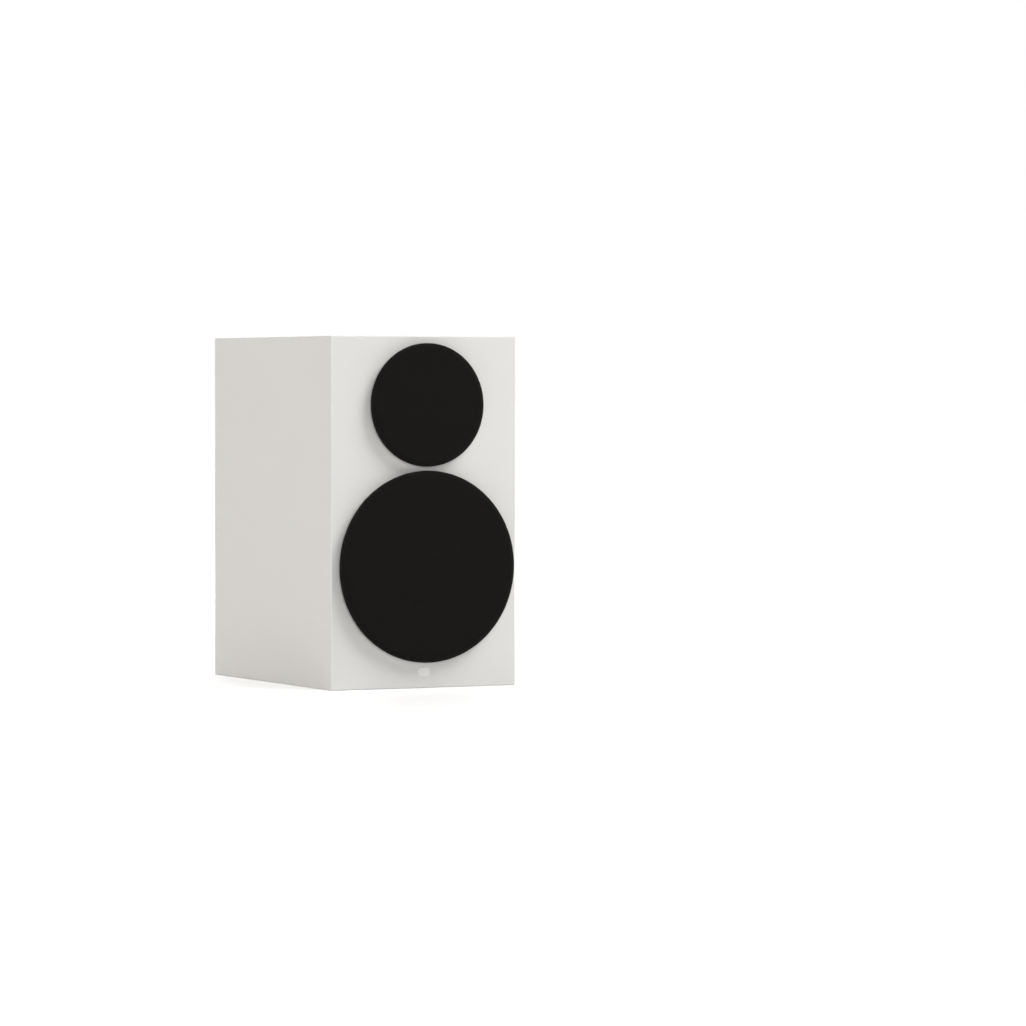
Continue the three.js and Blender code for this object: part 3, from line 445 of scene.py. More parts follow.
def fleece_pad(name, wall_side):
    """A pad in the space of its node: flat on the wall, crowned and dimpled on the free side."""
    low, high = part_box(name)
    across, up = 44, 32
    maker = bmesh.new()

    def thickness(u, v):
        """The pad's thickness as a share of its node's, at this share of its length and height."""
        edge = min(1.0, 6.0 * min(u, 1 - u, v, 1 - v)) ** 0.5
        dimples = sum(
            math.exp(-((u - a) ** 2 + ((v - b) * 0.7) ** 2) / 0.0016)
            for a in (0.14, 0.38, 0.62, 0.86) for b in (0.16, 0.84)
        )
        drift = 0.06 * math.sin(9 * u + 2) * math.sin(7 * v + 1)
        return max(0.12, edge * (0.94 - 0.55 * min(1.0, dimples) + drift * edge))

    sheets = []
    for free in (False, True):
        rows = []
        for j in range(up + 1):
            row = []
            for i in range(across + 1):
                u, v = i / across, j / up
                depth = (high.x - low.x) * min(0.995, thickness(u, v)) if free else 0.0
                x = low.x + depth if wall_side < 0 else high.x - depth
                row.append(maker.verts.new((
                    x, low.y + (high.y - low.y) * u, low.z + (high.z - low.z) * v,
                )))
            rows.append(row)
        sheets.append(rows)
        for j in range(up):
            for i in range(across):
                maker.faces.new((rows[j][i], rows[j][i + 1], rows[j + 1][i + 1], rows[j + 1][i]))
    wall, free = sheets
    rim = [(0, i) for i in range(across)] + [(j, across) for j in range(up)]
    rim += [(up, i) for i in range(across, 0, -1)] + [(j, 0) for j in range(up, 0, -1)]
    for (a, b), (c, d) in zip(rim, rim[1:] + rim[:1]):
        maker.faces.new((wall[a][b], wall[c][d], free[c][d], free[a][b]))
    made = finish_mesh(name + "_fleece", maker, fleece, 60)
    stands_for(made, "cabinet", "wadding", name)


fleece_pad("wadding_left", -1)
fleece_pad("wadding_right", 1)

# Woofer frame: a cast basket let into the front board behind a pressed steel trim ring. The ring is
# powder-coated a fine satin black and its edges are softened by the press.
powder_coat = grained(
    "black powder coat", (0.016, 0.016, 0.0165), (0.011, 0.011, 0.0115), 0.46, 0.05, 0.00003,
    grain=2600.0, mottle=40.0, sharp=0.6,
)
casting = grained(
    "painted casting", (0.030, 0.031, 0.033), (0.018, 0.018, 0.020), 0.6, 0.08, 0.00008,
    grain=1500.0, mottle=70.0, sharp=0.65, more={"Metallic": 0.35},
)
wear("woofer_basket", casting)


def eased(corners, steps=5):
    """A turned outline from (radius, forward) corners, each with an optional fillet as third value."""
    line = []
    for i, corner in enumerate(corners):
        here = Vector(corner[:2])
        fillet = corner[2] if len(corner) > 2 else 0
        if not fillet:
            line.append((here.x, here.y))
            continue
        before = Vector(corners[i - 1][:2]) - here
        after = Vector(corners[(i + 1) % len(corners)][:2]) - here
        start = here + before.normalized() * min(fillet, before.length * 0.49)
        stop = here + after.normalized() * min(fillet, after.length * 0.49)
        for k in range(steps + 1):
            t = k / steps
            point = start * (1 - t) ** 2 + here * 2 * t * (1 - t) + stop * t ** 2
            line.append((point.x, point.y))
    return line


def turned(name, outline, at, material, rounds=96, forward=-1.0, smooth_under=32):
    """A ring or plug turned about the Y direction through at, from (radius, forward) points."""
    maker = bmesh.new()
    rings = []
    for radius, reach in outline:
        y = at[1] + forward * reach
        if radius < 1e-7:
            rings.append([maker.verts.new((at[0], y, at[2]))])
            continue
        rings.append([
            maker.verts.new((
                at[0] + radius * math.sin(2 * math.pi * k / rounds), y,
                at[2] + radius * math.cos(2 * math.pi * k / rounds),
            )) for k in range(rounds)
        ])
    pairs = list(zip(rings, rings[1:]))
    if len(rings[0]) > 1 and len(rings[-1]) > 1:
        pairs.append((rings[-1], rings[0]))
    for one, two in pairs:
        for k in range(rounds):
            n = (k + 1) % rounds
            if len(one) == 1 and len(two) > 1:
                maker.faces.new((one[0], two[k], two[n]))
            elif len(two) == 1 and len(one) > 1:
                maker.faces.new((one[k], two[0], one[n]))
            elif len(one) > 1:
                maker.faces.new((one[k], two[k], two[n], one[n]))
    return finish_mesh(name, maker, material, smooth_under)


def on_face(node):
    """The centre of a driver on the front board's face."""
    spot = middle(node)
    return (spot.x, FRONT.y, spot.z)


woofer_centre, tweeter_centre = on_face("woofer_trim_ring"), on_face("tweeter_faceplate")
trim_outer = half_across("woofer_trim_ring")
trim_inner = trim_outer - 0.014
trim_height = 0.005


def screw_seats(made, screws):
    """Sinks a flat-bottomed seat with a broken edge, and a clear hole under it, at each screw."""
    hole, seat, seat_floor, broken_edge, clear = 0.0022, 0.0034, 0.0020, 0.0040, 0.0060
    outline = [
        (0.0, -0.009), (hole, -0.009), (hole, seat_floor), (seat, seat_floor), (seat, 0.0047),
        (broken_edge, 0.0053), (broken_edge, clear), (0.0, clear),
    ]
    for screw in screws:
        sawn(made, turned("seat", outline, on_face(screw), powder_coat, 40))
    settled_shading(made, 32)


trim = turned("woofer_trim_ring_pressed", eased([
    (trim_inner, 0.0), (trim_outer, 0.0), (trim_outer, trim_height, 0.0012),
    (trim_inner + 0.0022, trim_height, 0.0008), (trim_inner, trim_height - 0.0022, 0.0006),
]), woofer_centre, powder_coat, 128)
screw_seats(trim, [f"woofer_screw_{i}" for i in (1, 2, 3, 4)])
stands_for(trim, "cabinet", "driver_black_steel", "woofer_trim_ring")

# Driver screws: black-zinc socket screws with a rounded head and a hexagon key hole, four round the
# woofer and three round the tweeter, each set by one bolt-circle rule.
plated = grained(
    "black zinc plate", (0.075, 0.076, 0.080), (0.045, 0.045, 0.048), 0.34, 0.06, 0.00002,
    grain=3200.0, mottle=220.0, more={"Metallic": 0.9},
)


def socket_screw(name, head, shank, top, under, tip, key, material):
    """One screw about Y: tip, shank, rounded head and the hexagon key hole sunk in it."""
    around, key_half_side = 24, math.pi / 6
    maker = bmesh.new()

    def ring(radius, y, keyed=False):
        """Points round the axis, on a circle or on the hexagon of the key."""
        points = []
        for k in range(around):
            angle = 2 * math.pi * k / around
            reach = radius
            if keyed:
                turn = (angle % (2 * key_half_side)) - key_half_side
                reach = radius * math.cos(key_half_side) / math.cos(turn)
            points.append(maker.verts.new((reach * math.sin(angle), y, reach * math.cos(angle))))
        return points

    ease = (top - under) * 0.28
    rings = [
        ring(shank * 0.35, tip), ring(shank, tip - 0.002), ring(shank, -under),
        ring(head, -under), ring(head, -top + ease), ring(head - ease * 0.35, -top + ease * 0.3),
        ring(head - ease, -top), ring(key * 1.06, -top, True), ring(key, -top + 0.0002, True),
        ring(key, -top + 0.0016, True),
    ]
    return skinned(name, maker, rings, material, 30)


def finished(rule, ends, out, copies):
    """Ends a rule: its copies made real, in the finish that is asked for."""
    real = put(rule, "GeometryNodeRealizeInstances", {"Geometry": copies})
    painted = put(rule, "GeometryNodeSetMaterial", {
        "Geometry": real.outputs["Geometry"], "Material": ends.outputs["Finish"],
    })
    rule.links.new(painted.outputs["Geometry"], out.inputs["Geometry"])


def screws_at(rule, ends, out, flat_points, turn):
    """Stands the points up facing Y at the centre and puts the screw on each."""
    stood = put(rule, "GeometryNodeTransform", {
        "Geometry": flat_points, "Translation": ends.outputs["Centre"], "Rotation": turn,
    })
    one = put(rule, "GeometryNodeObjectInfo", {"Object": ends.outputs["Screw"]})
    placed = put(rule, "GeometryNodeInstanceOnPoints", {
        "Points": stood.outputs["Geometry"], "Instance": one.outputs["Geometry"],
    })
    finished(rule, ends, out, placed.outputs["Instances"])


def bolt_circle():
    """Geometry Nodes: a screw at each point of a circle that stands facing Y."""
    rule, ends, out = group("bolt circle", [
        ("Geometry", "NodeSocketGeometry", None), ("Screw", "NodeSocketObject", None),
        ("Count", "NodeSocketInt", None), ("Circle radius", "NodeSocketFloat", None),
        ("Centre", "NodeSocketVector", None), ("First angle", "NodeSocketFloat", None),
        ("Finish", "NodeSocketMaterial", None),
    ], [("Geometry", "NodeSocketGeometry")], "GeometryNodeTree")
    circle = put(rule, "GeometryNodeMeshCircle", {
        "Vertices": ends.outputs["Count"], "Radius": ends.outputs["Circle radius"],
    })
    turn = put(rule, "ShaderNodeCombineXYZ", {"X": math.pi / 2, "Y": ends.outputs["First angle"]})
    screws_at(rule, ends, out, circle.outputs["Mesh"], turn.outputs[0])
    return rule


def grown(name, rule, settings, material):
    """Runs a Geometry Nodes rule with its named inputs and keeps the result as a plain mesh."""
    made = bpy.data.objects.new(name, bpy.data.meshes.new(name))
    bpy.context.scene.collection.objects.link(made)
    step = made.modifiers.new(name, "NODES")
    step.node_group = rule
    sockets = {s.name: s.identifier for s in rule.interface.items_tree if s.in_out == "INPUT"}
    for label, value in settings.items():
        step[sockets[label]] = value
    made.data = as_mesh(made)
    made.data.materials.clear()
    made.data.materials.append(material)
    return made


screw_circle = bolt_circle()
for driver, count, centre in (("woofer", 4, woofer_centre), ("tweeter", 3, tweeter_centre)):
    names = [f"{driver}_screw_{i + 1}" for i in range(count)]
    spot = middle(names[0])
    aside, above = spot.x - centre[0], spot.z - centre[2]
    model = socket_screw(
        "screw model", head=0.0032, shank=0.0019, top=0.0048, under=0.0020, tip=0.016, key=0.00155,
        material=plated,
    )
    made = grown(f"{driver}_screws", screw_circle, {
        "Screw": model, "Count": count, "Circle radius": math.hypot(aside, above), "Centre": centre,
        "First angle": math.atan2(aside, above) - math.pi / 2, "Finish": plated,
    }, plated)
    bpy.data.objects.remove(model)
    stands_for(made, "cabinet", "zinc_steel", *names)

# Woofer motor: a ferrite ring between zinc-plated steel plates, stacked on the back of the basket.
# Sealed inside the cabinet, so its CAD solids stay and only take their finishes.
zinc = grained(
    "zinc plate", (0.33, 0.34, 0.36), (0.24, 0.25, 0.27), 0.33, 0.08, 0.00003,
    grain=1800.0, mottle=120.0, more={"Metallic": 0.9},
)
ferrite = grained(
    "sintered ferrite", (0.045, 0.045, 0.047), (0.028, 0.028, 0.030), 0.75, 0.06, 0.00012,
    grain=2200.0, mottle=90.0, sharp=0.75,
)
for name in ("woofer_top_plate", "woofer_yoke", "tweeter_top_plate", "tweeter_yoke"):
    wear(name, zinc)
for name in ("woofer_magnet", "tweeter_magnet"):
    wear(name, ferrite)

# Voice coils: enamelled copper wire wound tight on a thin former, seen as fine rings round it. The
# crossover's coil is wound from the same kind of wire and takes the same finish.
copper, tree = new_material("enamelled copper")
place = put(tree, "ShaderNodeTexCoord")
rings = put(tree, "ShaderNodeTexWave", {
    "Vector": place.outputs["Object"], "Scale": 160.0, "Distortion": 0.2, "Detail": 1.0,
}, wave_type="BANDS", bands_direction="Y")
# Painted highlight and painted shade: each turn's crown is painted bright copper and the groove between
# turns dark copper.
painted_turn_shine = blended(tree, rings.outputs["Fac"], (0.22, 0.075, 0.025), (0.62, 0.27, 0.11))
bump = put(tree, "ShaderNodeBump", {
    "Strength": 0.9, "Distance": 0.00015, "Height": rings.outputs["Fac"],
})
surface(tree, {
    "Base Color": painted_turn_shine, "Roughness": 0.3, "Metallic": 0.85, "Normal": bump.outputs["Normal"],
})
for name in ("woofer_voice_coil", "tweeter_voice_coil", "crossover_coil"):
    wear(name, copper)

# Woofer cone and dust cap: pressed from coated paper pulp, charcoal, with short fibres in the skin
# and a slight sheen; the flare is steeper at the neck than at the rim.
pulp, tree = new_material("coated paper pulp")
place = put(tree, "ShaderNodeTexCoord")
fibres = put(tree, "ShaderNodeTexNoise", {
    "Vector": place.outputs["Object"], "Scale": 700.0, "Detail": 6.0, "Roughness": 0.7, "Distortion": 3.0,
})
blotches = put(tree, "ShaderNodeTexNoise", {"Vector": place.outputs["Object"], "Scale": 60.0, "Detail": 4.0})
stir = put(tree, "ShaderNodeMath", {
    0: fibres.outputs["Fac"], 1: blotches.outputs["Fac"],
}, operation="MULTIPLY")
tone = blended(tree, stir.outputs[0], (0.020, 0.021, 0.023), (0.075, 0.077, 0.082))
gloss = put(tree, "ShaderNodeMapRange", {
    "Value": fibres.outputs["Fac"], "From Min": 0.3, "From Max": 0.7, "To Min": 0.50, "To Max": 0.66,
})
bump = put(tree, "ShaderNodeBump", {"Strength": 0.6, "Distance": 0.00012, "Height": fibres.outputs["Fac"]})
surface(tree, {
    "Base Color": tone, "Roughness": gloss.outputs["Result"], "Normal": bump.outputs["Normal"],
})
cone_radius, cone_rim = half_across("woofer_cone"), FRONT.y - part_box("woofer_cone")[0].y
cone_neck, cone_lip, cone_wall, cone_thick = 0.0169, 0.004, 0.0011, 0.0016
cone_deep, cone_flare, cone_steps, glue_fillet = 0.033, 0.86, 14, 0.0002
face = []
for k in range(cone_steps + 1):
    t = k / cone_steps
    face.append((
        cone_neck + (cone_radius - cone_lip - cone_neck) * t,
        cone_rim - cone_deep * (1 - t ** cone_flare),
    ))
cone = turned("woofer_cone_pressed", (
    face + [(cone_radius, cone_rim), (cone_radius, cone_rim - cone_wall)]
    + [(r + (glue_fillet if r > cone_neck else 0), h - cone_thick) for r, h in reversed(face)]
), woofer_centre, pulp, 128, smooth_under=50)
stands_for(cone, "woofer_cone_unit", "cone_pulp", "woofer_cone")



def domed(radius, base, rise, wall, steps=16):
    """The outline of a thin pressed dome: its front from the middle out, then its back."""
    front = []
    for k in range(steps + 1):
        angle = math.pi / 2 * k / steps
        front.append((radius * math.sin(angle), base + rise * math.cos(angle)))
    return front + [(max(0.0, r - wall), h - wall) for r, h in reversed(front)]


cap_rise = 0.0068
cap_seat = (FRONT.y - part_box("woofer_dust_cap")[0].y) - cap_rise
cap = turned(
    "woofer_dust_cap_pressed", domed(half_across("woofer_dust_cap"), cap_seat, cap_rise, 0.0007),
    woofer_centre, pulp, 96, smooth_under=50,
)
stands_for(cap, "woofer_cone_unit", "cone_pulp", "woofer_dust_cap")

# Woofer surround: a half roll of moulded black rubber, glued to the cone's rim inside and to the
# basket's seat outside; the real roll bends between the two as the cone moves, this one is fixed.
rubber = grained(
    "moulded rubber", (0.013, 0.013, 0.0135), (0.009, 0.009, 0.0095), 0.52, 0.06, 0.00004,
    grain=1900.0, mottle=50.0, more={"Sheen Weight": 0.08},
)


def half_roll(inner, outer, inner_lip, outer_lip, inner_height, outer_height, rise, wall, steps=20):
    """The outline of an arched roll with a flat lip on each side."""
    centre, reach = (inner + outer) / 2, (outer - inner) / 2
    front, back = [], []
    for k in range(steps + 1):
        angle = math.pi - math.pi * k / steps
        base = inner_height + (outer_height - inner_height) * k / steps
        front.append((centre + reach * math.cos(angle), base + wall + rise * math.sin(angle)))
        back.append((
            centre + (reach - wall) * math.cos(angle), base + (rise - 0.2 * wall) * math.sin(angle),
        ))
    return (
        [(inner_lip, inner_height + wall)] + front
        + [(outer_lip, outer_height + wall), (outer_lip, outer_height)]
        + back[::-1] + [(inner_lip, inner_height)]
    )


def bends_between(made):
    """A round suspension: its place is baked into its mesh, and it is held by no body."""
    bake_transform(made)


roll_inner, roll_outer = cone_radius - 0.0005, trim_inner - 0.0025
surround = turned("woofer_surround_moulded", half_roll(
    roll_inner, roll_outer, inner_lip=cone_radius - 0.0035, outer_lip=trim_inner + 0.0004,
    inner_height=cone_rim, outer_height=-0.002, rise=0.0070, wall=0.0009,
), woofer_centre, rubber, 128, smooth_under=50)
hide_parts("woofer_surround")
bends_between(surround)

# Woofer spider: open-weave cloth stiffened with amber resin and pressed into rings, glued round the
# coil's former inside and on the basket's ledge outside.


def woven(name, threads, crossing, dark, light, strength, relief, more):
    """A woven cloth with this many threads each way, raised where threads cross, with a painted highlight on
    the crossings and painted shade between the threads.
    """
    material, tree = new_material(name)
    place = put(tree, "ShaderNodeTexCoord")
    warp, weft = [put(tree, "ShaderNodeTexWave", {
        "Vector": place.outputs["Object"], "Scale": threads,
    }, wave_type="BANDS", bands_direction=direction) for direction in ("X", "Z")]
    weave = put(tree, "ShaderNodeMath", {
        0: warp.outputs["Fac"], 1: weft.outputs["Fac"],
    }, operation=crossing)
    bump = put(tree, "ShaderNodeBump", {
        "Strength": strength, "Distance": relief, "Height": weave.outputs[0],
    })
    # Painted highlight and painted shade: the base colour is lighter where the weave stands higher.
    surface(tree, {
        "Base Color": blended(tree, weave.outputs[0], dark, light), "Normal": bump.outputs["Normal"],
        **more,
    })
    return material


resin_cloth = woven(
    "resined cloth", 260.0, "MAXIMUM", (0.20, 0.10, 0.03), (0.55, 0.32, 0.12), 0.7, 0.0002,
    {"Roughness": 0.7},
)
spider_outer = half_across("woofer_spider")
spider_seat = FRONT.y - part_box("woofer_spider")[1].y
spider_in, spider_out = 0.0203, spider_outer - 0.0045
spider_neck, spider_thick, wave_rise, wave_count, wave_steps = 0.0172, 0.0006, 0.0008, 4, 64
waves = []
for k in range(wave_steps + 1):
    t = k / wave_steps
    waves.append((
        spider_in + (spider_out - spider_in) * t,
        spider_seat + wave_rise * (1 - math.cos(2 * math.pi * wave_count * t)),
    ))
spider = turned("woofer_spider_pressed", (
    [(spider_neck, spider_seat + spider_thick)] + [(r, h + spider_thick) for r, h in waves]
    + [(spider_outer, spider_seat + spider_thick), (spider_outer, spider_seat)]
    + waves[::-1] + [(spider_neck, spider_seat)]
), woofer_centre, resin_cloth, 72, smooth_under=60)
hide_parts("woofer_spider")
bends_between(spider)

# Tweeter faceplate: a thick black plate with a shallow flared horn, let into the front board; its
# rim stands as proud as the woofer's ring, so both grilles sit level.
plate_radius = half_across("tweeter_faceplate")
seat_radius = plate_radius - 0.003
mouth, throat = plate_radius - 0.019, 0.016
horn_floor, horn_rise, horn_flare, horn_steps = -0.0070, 0.0117, 0.92, 16
plate_back, boss_back, boss_radius, boss_bore, throat_back = -0.004, -0.009, 0.036, 0.020, -0.008
horn = []
for k in range(horn_steps + 1):
    t = k / horn_steps
    horn.append((
        throat + (mouth - throat) * t,
        horn_floor + horn_rise * math.sin(math.pi / 2 * t ** horn_flare),
    ))
faceplate = turned("tweeter_faceplate_moulded", (
    [(throat, throat_back)] + horn + eased([
        (mouth + 0.0018, 0.0049, 0.0010), (plate_radius, trim_height, 0.0010), (plate_radius, 0.0),
        (seat_radius, 0.0), (seat_radius, plate_back), (boss_radius, plate_back),
        (boss_radius, boss_back), (boss_bore, boss_back), (boss_bore, throat_back),
    ])
), tweeter_centre, powder_coat, 112, smooth_under=30)
screw_seats(faceplate, [f"tweeter_screw_{i}" for i in (1, 2, 3)])
stands_for(faceplate, "cabinet", "driver_black_steel", "tweeter_faceplate")

# Tweeter dome: fine woven textile with a dark damping coat, slightly glossy, with its own small
# roll surround pressed in the same cloth.
dome_cloth = woven(
    "coated dome cloth", 620.0, "ADD", (0.020, 0.020, 0.024), (0.050, 0.050, 0.058), 0.5, 0.00005,
    {"Roughness": 0.42, "Coat Weight": 0.25, "Coat Roughness": 0.3},
)
dome_radius, dome_base = half_across("tweeter_dome"), -0.0079
dome = turned(
    "tweeter_dome_pressed", domed(dome_radius, dome_base, 0.0052, 0.0003), tweeter_centre,
    dome_cloth, 80, smooth_under=50,
)
stands_for(dome, "tweeter_dome_unit", "dome_cloth", "tweeter_dome")
dome_roll_inner, dome_roll_outer = dome_radius + 0.0003, throat - 0.0004
roll = turned("tweeter_surround_pressed", half_roll(
    dome_roll_inner, dome_roll_outer, inner_lip=dome_radius + 0.0001, outer_lip=throat + 0.0022,
    inner_height=dome_base, outer_height=-0.009, rise=0.0010, wall=0.0003, steps=10,
), tweeter_centre, dome_cloth, 80, smooth_under=60)
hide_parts("tweeter_surround")
bends_between(
    roll,
)

# Grilles: black knitted cloth stretched over a moulded hoop, wrapped round its soft edge and glued
# behind, with a magnetic strip under the hoop that holds on to the driver's steel.
knit, ends, out = group(
    "stretched knit",
    [("Cut", "NodeSocketVector", None), ("Ribs per metre", "NodeSocketFloat", 1250.0)],
    [("Relief", "NodeSocketFloat"), ("Gap", "NodeSocketFloat")],
)
scaled = put(knit, "ShaderNodeVectorMath", {
    0: ends.outputs["Cut"], "Scale": ends.outputs["Ribs per metre"],
}, operation="SCALE")
wander = put(knit, "ShaderNodeTexNoise", {"Vector": scaled.outputs[0], "Scale": 0.05, "Detail": 2.0})
drift = put(knit, "ShaderNodeVectorMath", {0: wander.outputs["Color"], "Scale": 0.8}, operation="SCALE")
laid = put(knit, "ShaderNodeVectorMath", {0: scaled.outputs[0], 1: drift.outputs[0]}, operation="ADD")
split = put(knit, "ShaderNodeSeparateXYZ", {"Vector": laid.outputs[0]})
rib = put(knit, "ShaderNodeMath", {0: split.outputs["X"], 1: math.pi}, operation="MULTIPLY")
rib_wave = put(knit, "ShaderNodeMath", {0: rib.outputs[0]}, operation="SINE")
rib_top = put(knit, "ShaderNodeMath", {0: rib_wave.outputs[0]}, operation="ABSOLUTE")
course = put(knit, "ShaderNodeMath", {0: split.outputs["Y"], 1: 1.7 * math.pi}, operation="MULTIPLY")
course_shift = put(knit, "ShaderNodeMath", {0: course.outputs[0], 1: rib.outputs[0]}, operation="ADD")
course_wave = put(knit, "ShaderNodeMath", {0: course_shift.outputs[0]}, operation="SINE")
course_top = put(knit, "ShaderNodeMath", {0: course_wave.outputs[0]}, operation="ABSOLUTE")
relief = put(knit, "ShaderNodeMath", {0: rib_top.outputs[0], 1: course_top.outputs[0]}, operation="MULTIPLY")
gap = put(knit, "ShaderNodeMapRange", {
    "Value": relief.outputs[0], "From Min": 0.22, "From Max": 0.05,
})
knit.links.new(relief.outputs[0], out.inputs["Relief"])
knit.links.new(gap.outputs["Result"], out.inputs["Gap"])

grille_cloth, tree = new_material("black grille cloth")
cut = put(tree, "ShaderNodeUVMap", uv_map="cut")
stitches = use(tree, knit, {"Cut": cut.outputs["UV"], "Ribs per metre": 1250.0})
slubs = put(tree, "ShaderNodeTexNoise", {"Vector": cut.outputs["UV"], "Scale": 420.0, "Detail": 3.0})
thread = blended(tree, slubs.outputs["Fac"], (0.0050, 0.0046, 0.0040), (0.0100, 0.0093, 0.0080))
# Painted shade: the gaps between the stitches are painted darker than the thread, as shade in the holes.
deep = put(tree, "ShaderNodeMix", {
    0: stitches.outputs["Gap"], 6: thread, 7: (0.0035, 0.0033, 0.0030, 1),
}, data_type="RGBA")
bump = put(tree, "ShaderNodeBump", {
    "Strength": 0.8, "Distance": 0.0003, "Height": stitches.outputs["Relief"],
})
surface(tree, {
    "Base Color": deep.outputs[2], "Roughness": 0.93, "Normal": bump.outputs["Normal"],
    "Specular IOR Level": 0.16, "Sheen Weight": 0.022, "Sheen Roughness": 0.45,
})
RIM_WIDE, RIM_DEEP = 0.0065, 0.0045
hoop_plastic = grained(
    "matt black moulding", (0.014, 0.014, 0.0145), (0.010, 0.010, 0.0105), 0.62, 0.05, 0.00005,
    grain=1700.0, mottle=60.0,
)
magnet_rubber = grained(
    "magnetic rubber", (0.050, 0.040, 0.032), (0.032, 0.026, 0.021), 0.8, 0.05, 0.00006,
    grain=2000.0, mottle=90.0,
)


def rounded_rim(radius, front, wide, deep, steps=10):
    """The soft front edge of a grille: a quarter ellipse from the flat face out to the side."""
    return [(radius - wide + wide * math.sin(math.pi / 2 * k / steps),
             front - deep + deep * math.cos(math.pi / 2 * k / steps)) for k in range(steps + 1)]


def stretched_cloth(name, at, radius, back, front, thickness, rounds=176):
    """Cloth pulled flat over the hoop, round its edge and behind it, with its flat cut as UVs."""
    tuck, turned_in, face_rings = 0.0004, 0.0030, 22
    outline = [
        ((radius - RIM_WIDE) * math.sqrt(k / face_rings), front) for k in range(face_rings)
    ]
    outline += rounded_rim(radius, front, RIM_WIDE, RIM_DEEP)
    outline += [
        (radius, back + tuck), (radius - 0.3 * tuck, back - 0.3 * tuck), (radius - tuck, back - tuck),
    ]
    outline += [(radius - tuck - turned_in * k / 3, back - tuck) for k in (1, 2, 3)]
    spread = [0.0]
    for (r0, h0), (r1, h1) in zip(outline, outline[1:]):
        spread.append(spread[-1] + math.hypot(r1 - r0, h1 - h0))
    maker = bmesh.new()
    uv = maker.loops.layers.uv.new("cut")
    rings, flat = [], {}
    for (r, h), reach in zip(outline, spread):
        ring = []
        for k in range(1 if r == 0 else rounds):
            angle = 2 * math.pi * k / rounds
            point = maker.verts.new((
                at[0] + r * math.sin(angle), at[1] - h, at[2] + r * math.cos(angle),
            ))
            flat[point] = (reach * math.sin(angle), reach * math.cos(angle))
            ring.append(point)
        rings.append(ring)
    for one, two in zip(rings, rings[1:]):
        for k in range(rounds):
            n = (k + 1) % rounds
            if len(one) == 1:
                face = maker.faces.new((one[0], two[k], two[n]))
            else:
                face = maker.faces.new((one[k], two[k], two[n], one[n]))
            face.smooth = True
            for loop in face.loops:
                loop[uv].uv = flat[loop.vert]
    bmesh.ops.recalc_face_normals(maker, faces=maker.faces)
    if sum(face.normal.y for face in maker.faces) > 0:
        bmesh.ops.reverse_faces(maker, faces=maker.faces)
    mesh = bpy.data.meshes.new(name)
    maker.to_mesh(mesh)
    maker.free()
    mesh.materials.append(grille_cloth)
    made = bpy.data.objects.new(name, mesh)
    bpy.context.scene.collection.objects.link(made)
    wall = made.modifiers.new("thickness", "SOLIDIFY")
    wall.thickness, wall.offset, wall.use_rim = thickness, -1.0, True
    return made, 2 * spread[-1]


cloth_thick, hoop_wide, hoop_back = 0.0006, 0.010, 0.0068
strip_wide, strip_back = 0.0065, 0.005
for driver in ("woofer", "tweeter"):
    body = f"{driver}_grille"
    centre = on_face(f"{driver}_grille_hoop")
    radius = half_across(f"{driver}_grille_cloth")
    low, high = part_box(f"{driver}_grille_cloth")
    back, front_height = FRONT.y - high.y, FRONT.y - low.y
    cloth, across = stretched_cloth(
        f"{driver}_grille_knit", centre, radius, back, front_height, cloth_thick,
    )
    stands_for(cloth, body, "grille_cloth", f"{driver}_grille_cloth")
    outer = radius - 0.001
    inner = outer - hoop_wide
    under = front_height - 0.0009
    hoop = turned(f"{driver}_grille_hoop_moulded", (
        eased([(inner, under, 0.0012), (inner, hoop_back, 0.0008), (outer, hoop_back, 0.0004)])
        + rounded_rim(outer, under, RIM_WIDE - 0.001, RIM_DEEP - 0.001)[::-1]
    ), centre, hoop_plastic, 128)
    stands_for(hoop, body, "grille_hoop", f"{driver}_grille_hoop")
    strip_inner, strip_outer = inner + 0.0002, inner + strip_wide
    strip = turned(f"{driver}_grille_strip", eased([
        (strip_inner, strip_back, 0.0003), (strip_outer, strip_back, 0.0003),
        (strip_outer, hoop_back), (strip_inner, hoop_back),
    ]), centre, magnet_rubber, 112)
    stands_for(strip, body, "magnet_strip", f"{driver}_grille_magnet_strip")

# Badge: a small blank plate pressed from thin metal, its edge rounded over, enamelled pale and
# glued to the front board under the woofer's grille.
enamel = grained(
    "pale enamel", (0.985, 0.98, 0.965), (0.96, 0.955, 0.94), 0.24, 0.03, 0.00001,
    grain=600.0, mottle=120.0, more={"Coat Weight": 0.4, "Coat Roughness": 0.12},
)
low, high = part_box("badge")
wide, tall = high.x - low.x, high.z - low.z
badge = stacked("badge_plate", middle("badge"), [
    (wide, tall, tall / 2 - 0.0002, high.y), (wide, tall, tall / 2 - 0.0002, low.y + 0.0004),
    (wide - 0.0003, tall - 0.0003, tall / 2 - 0.0004, low.y + 0.0001),
    (wide - 0.0009, tall - 0.0009, tall / 2 - 0.0007, low.y),
    (wide - 0.0024, tall - 0.0024, tall / 2 - 0.0014, low.y + 0.0001),
], enamel)
stands_for(badge, "cabinet", "badge_enamel", "badge")

# Reflex port: one smooth black moulding pushed in from behind, with a wide flare at each end and a
# thin flange flat on the back board.
moulded = grained(
    "grained black moulding", (0.020, 0.020, 0.021), (0.014, 0.014, 0.0145), 0.48, 0.05, 0.00005,
    grain=1500.0, mottle=45.0, sharp=0.6,
)
low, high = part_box("port_tube")
bore, back_face = 0.025, BACK.y
tube_end = back_face - low.y


def flare(start, reach, widen, turn, steps=14):
    """A quarter ellipse from the bore out to a mouth, forwards or back as turn says."""
    angles = [math.pi / 2 * k / steps for k in range(1, steps + 1)]
    return [
        (bore + widen * (1 - math.cos(angle)), start + turn * reach * math.sin(angle))
        for angle in angles
    ]


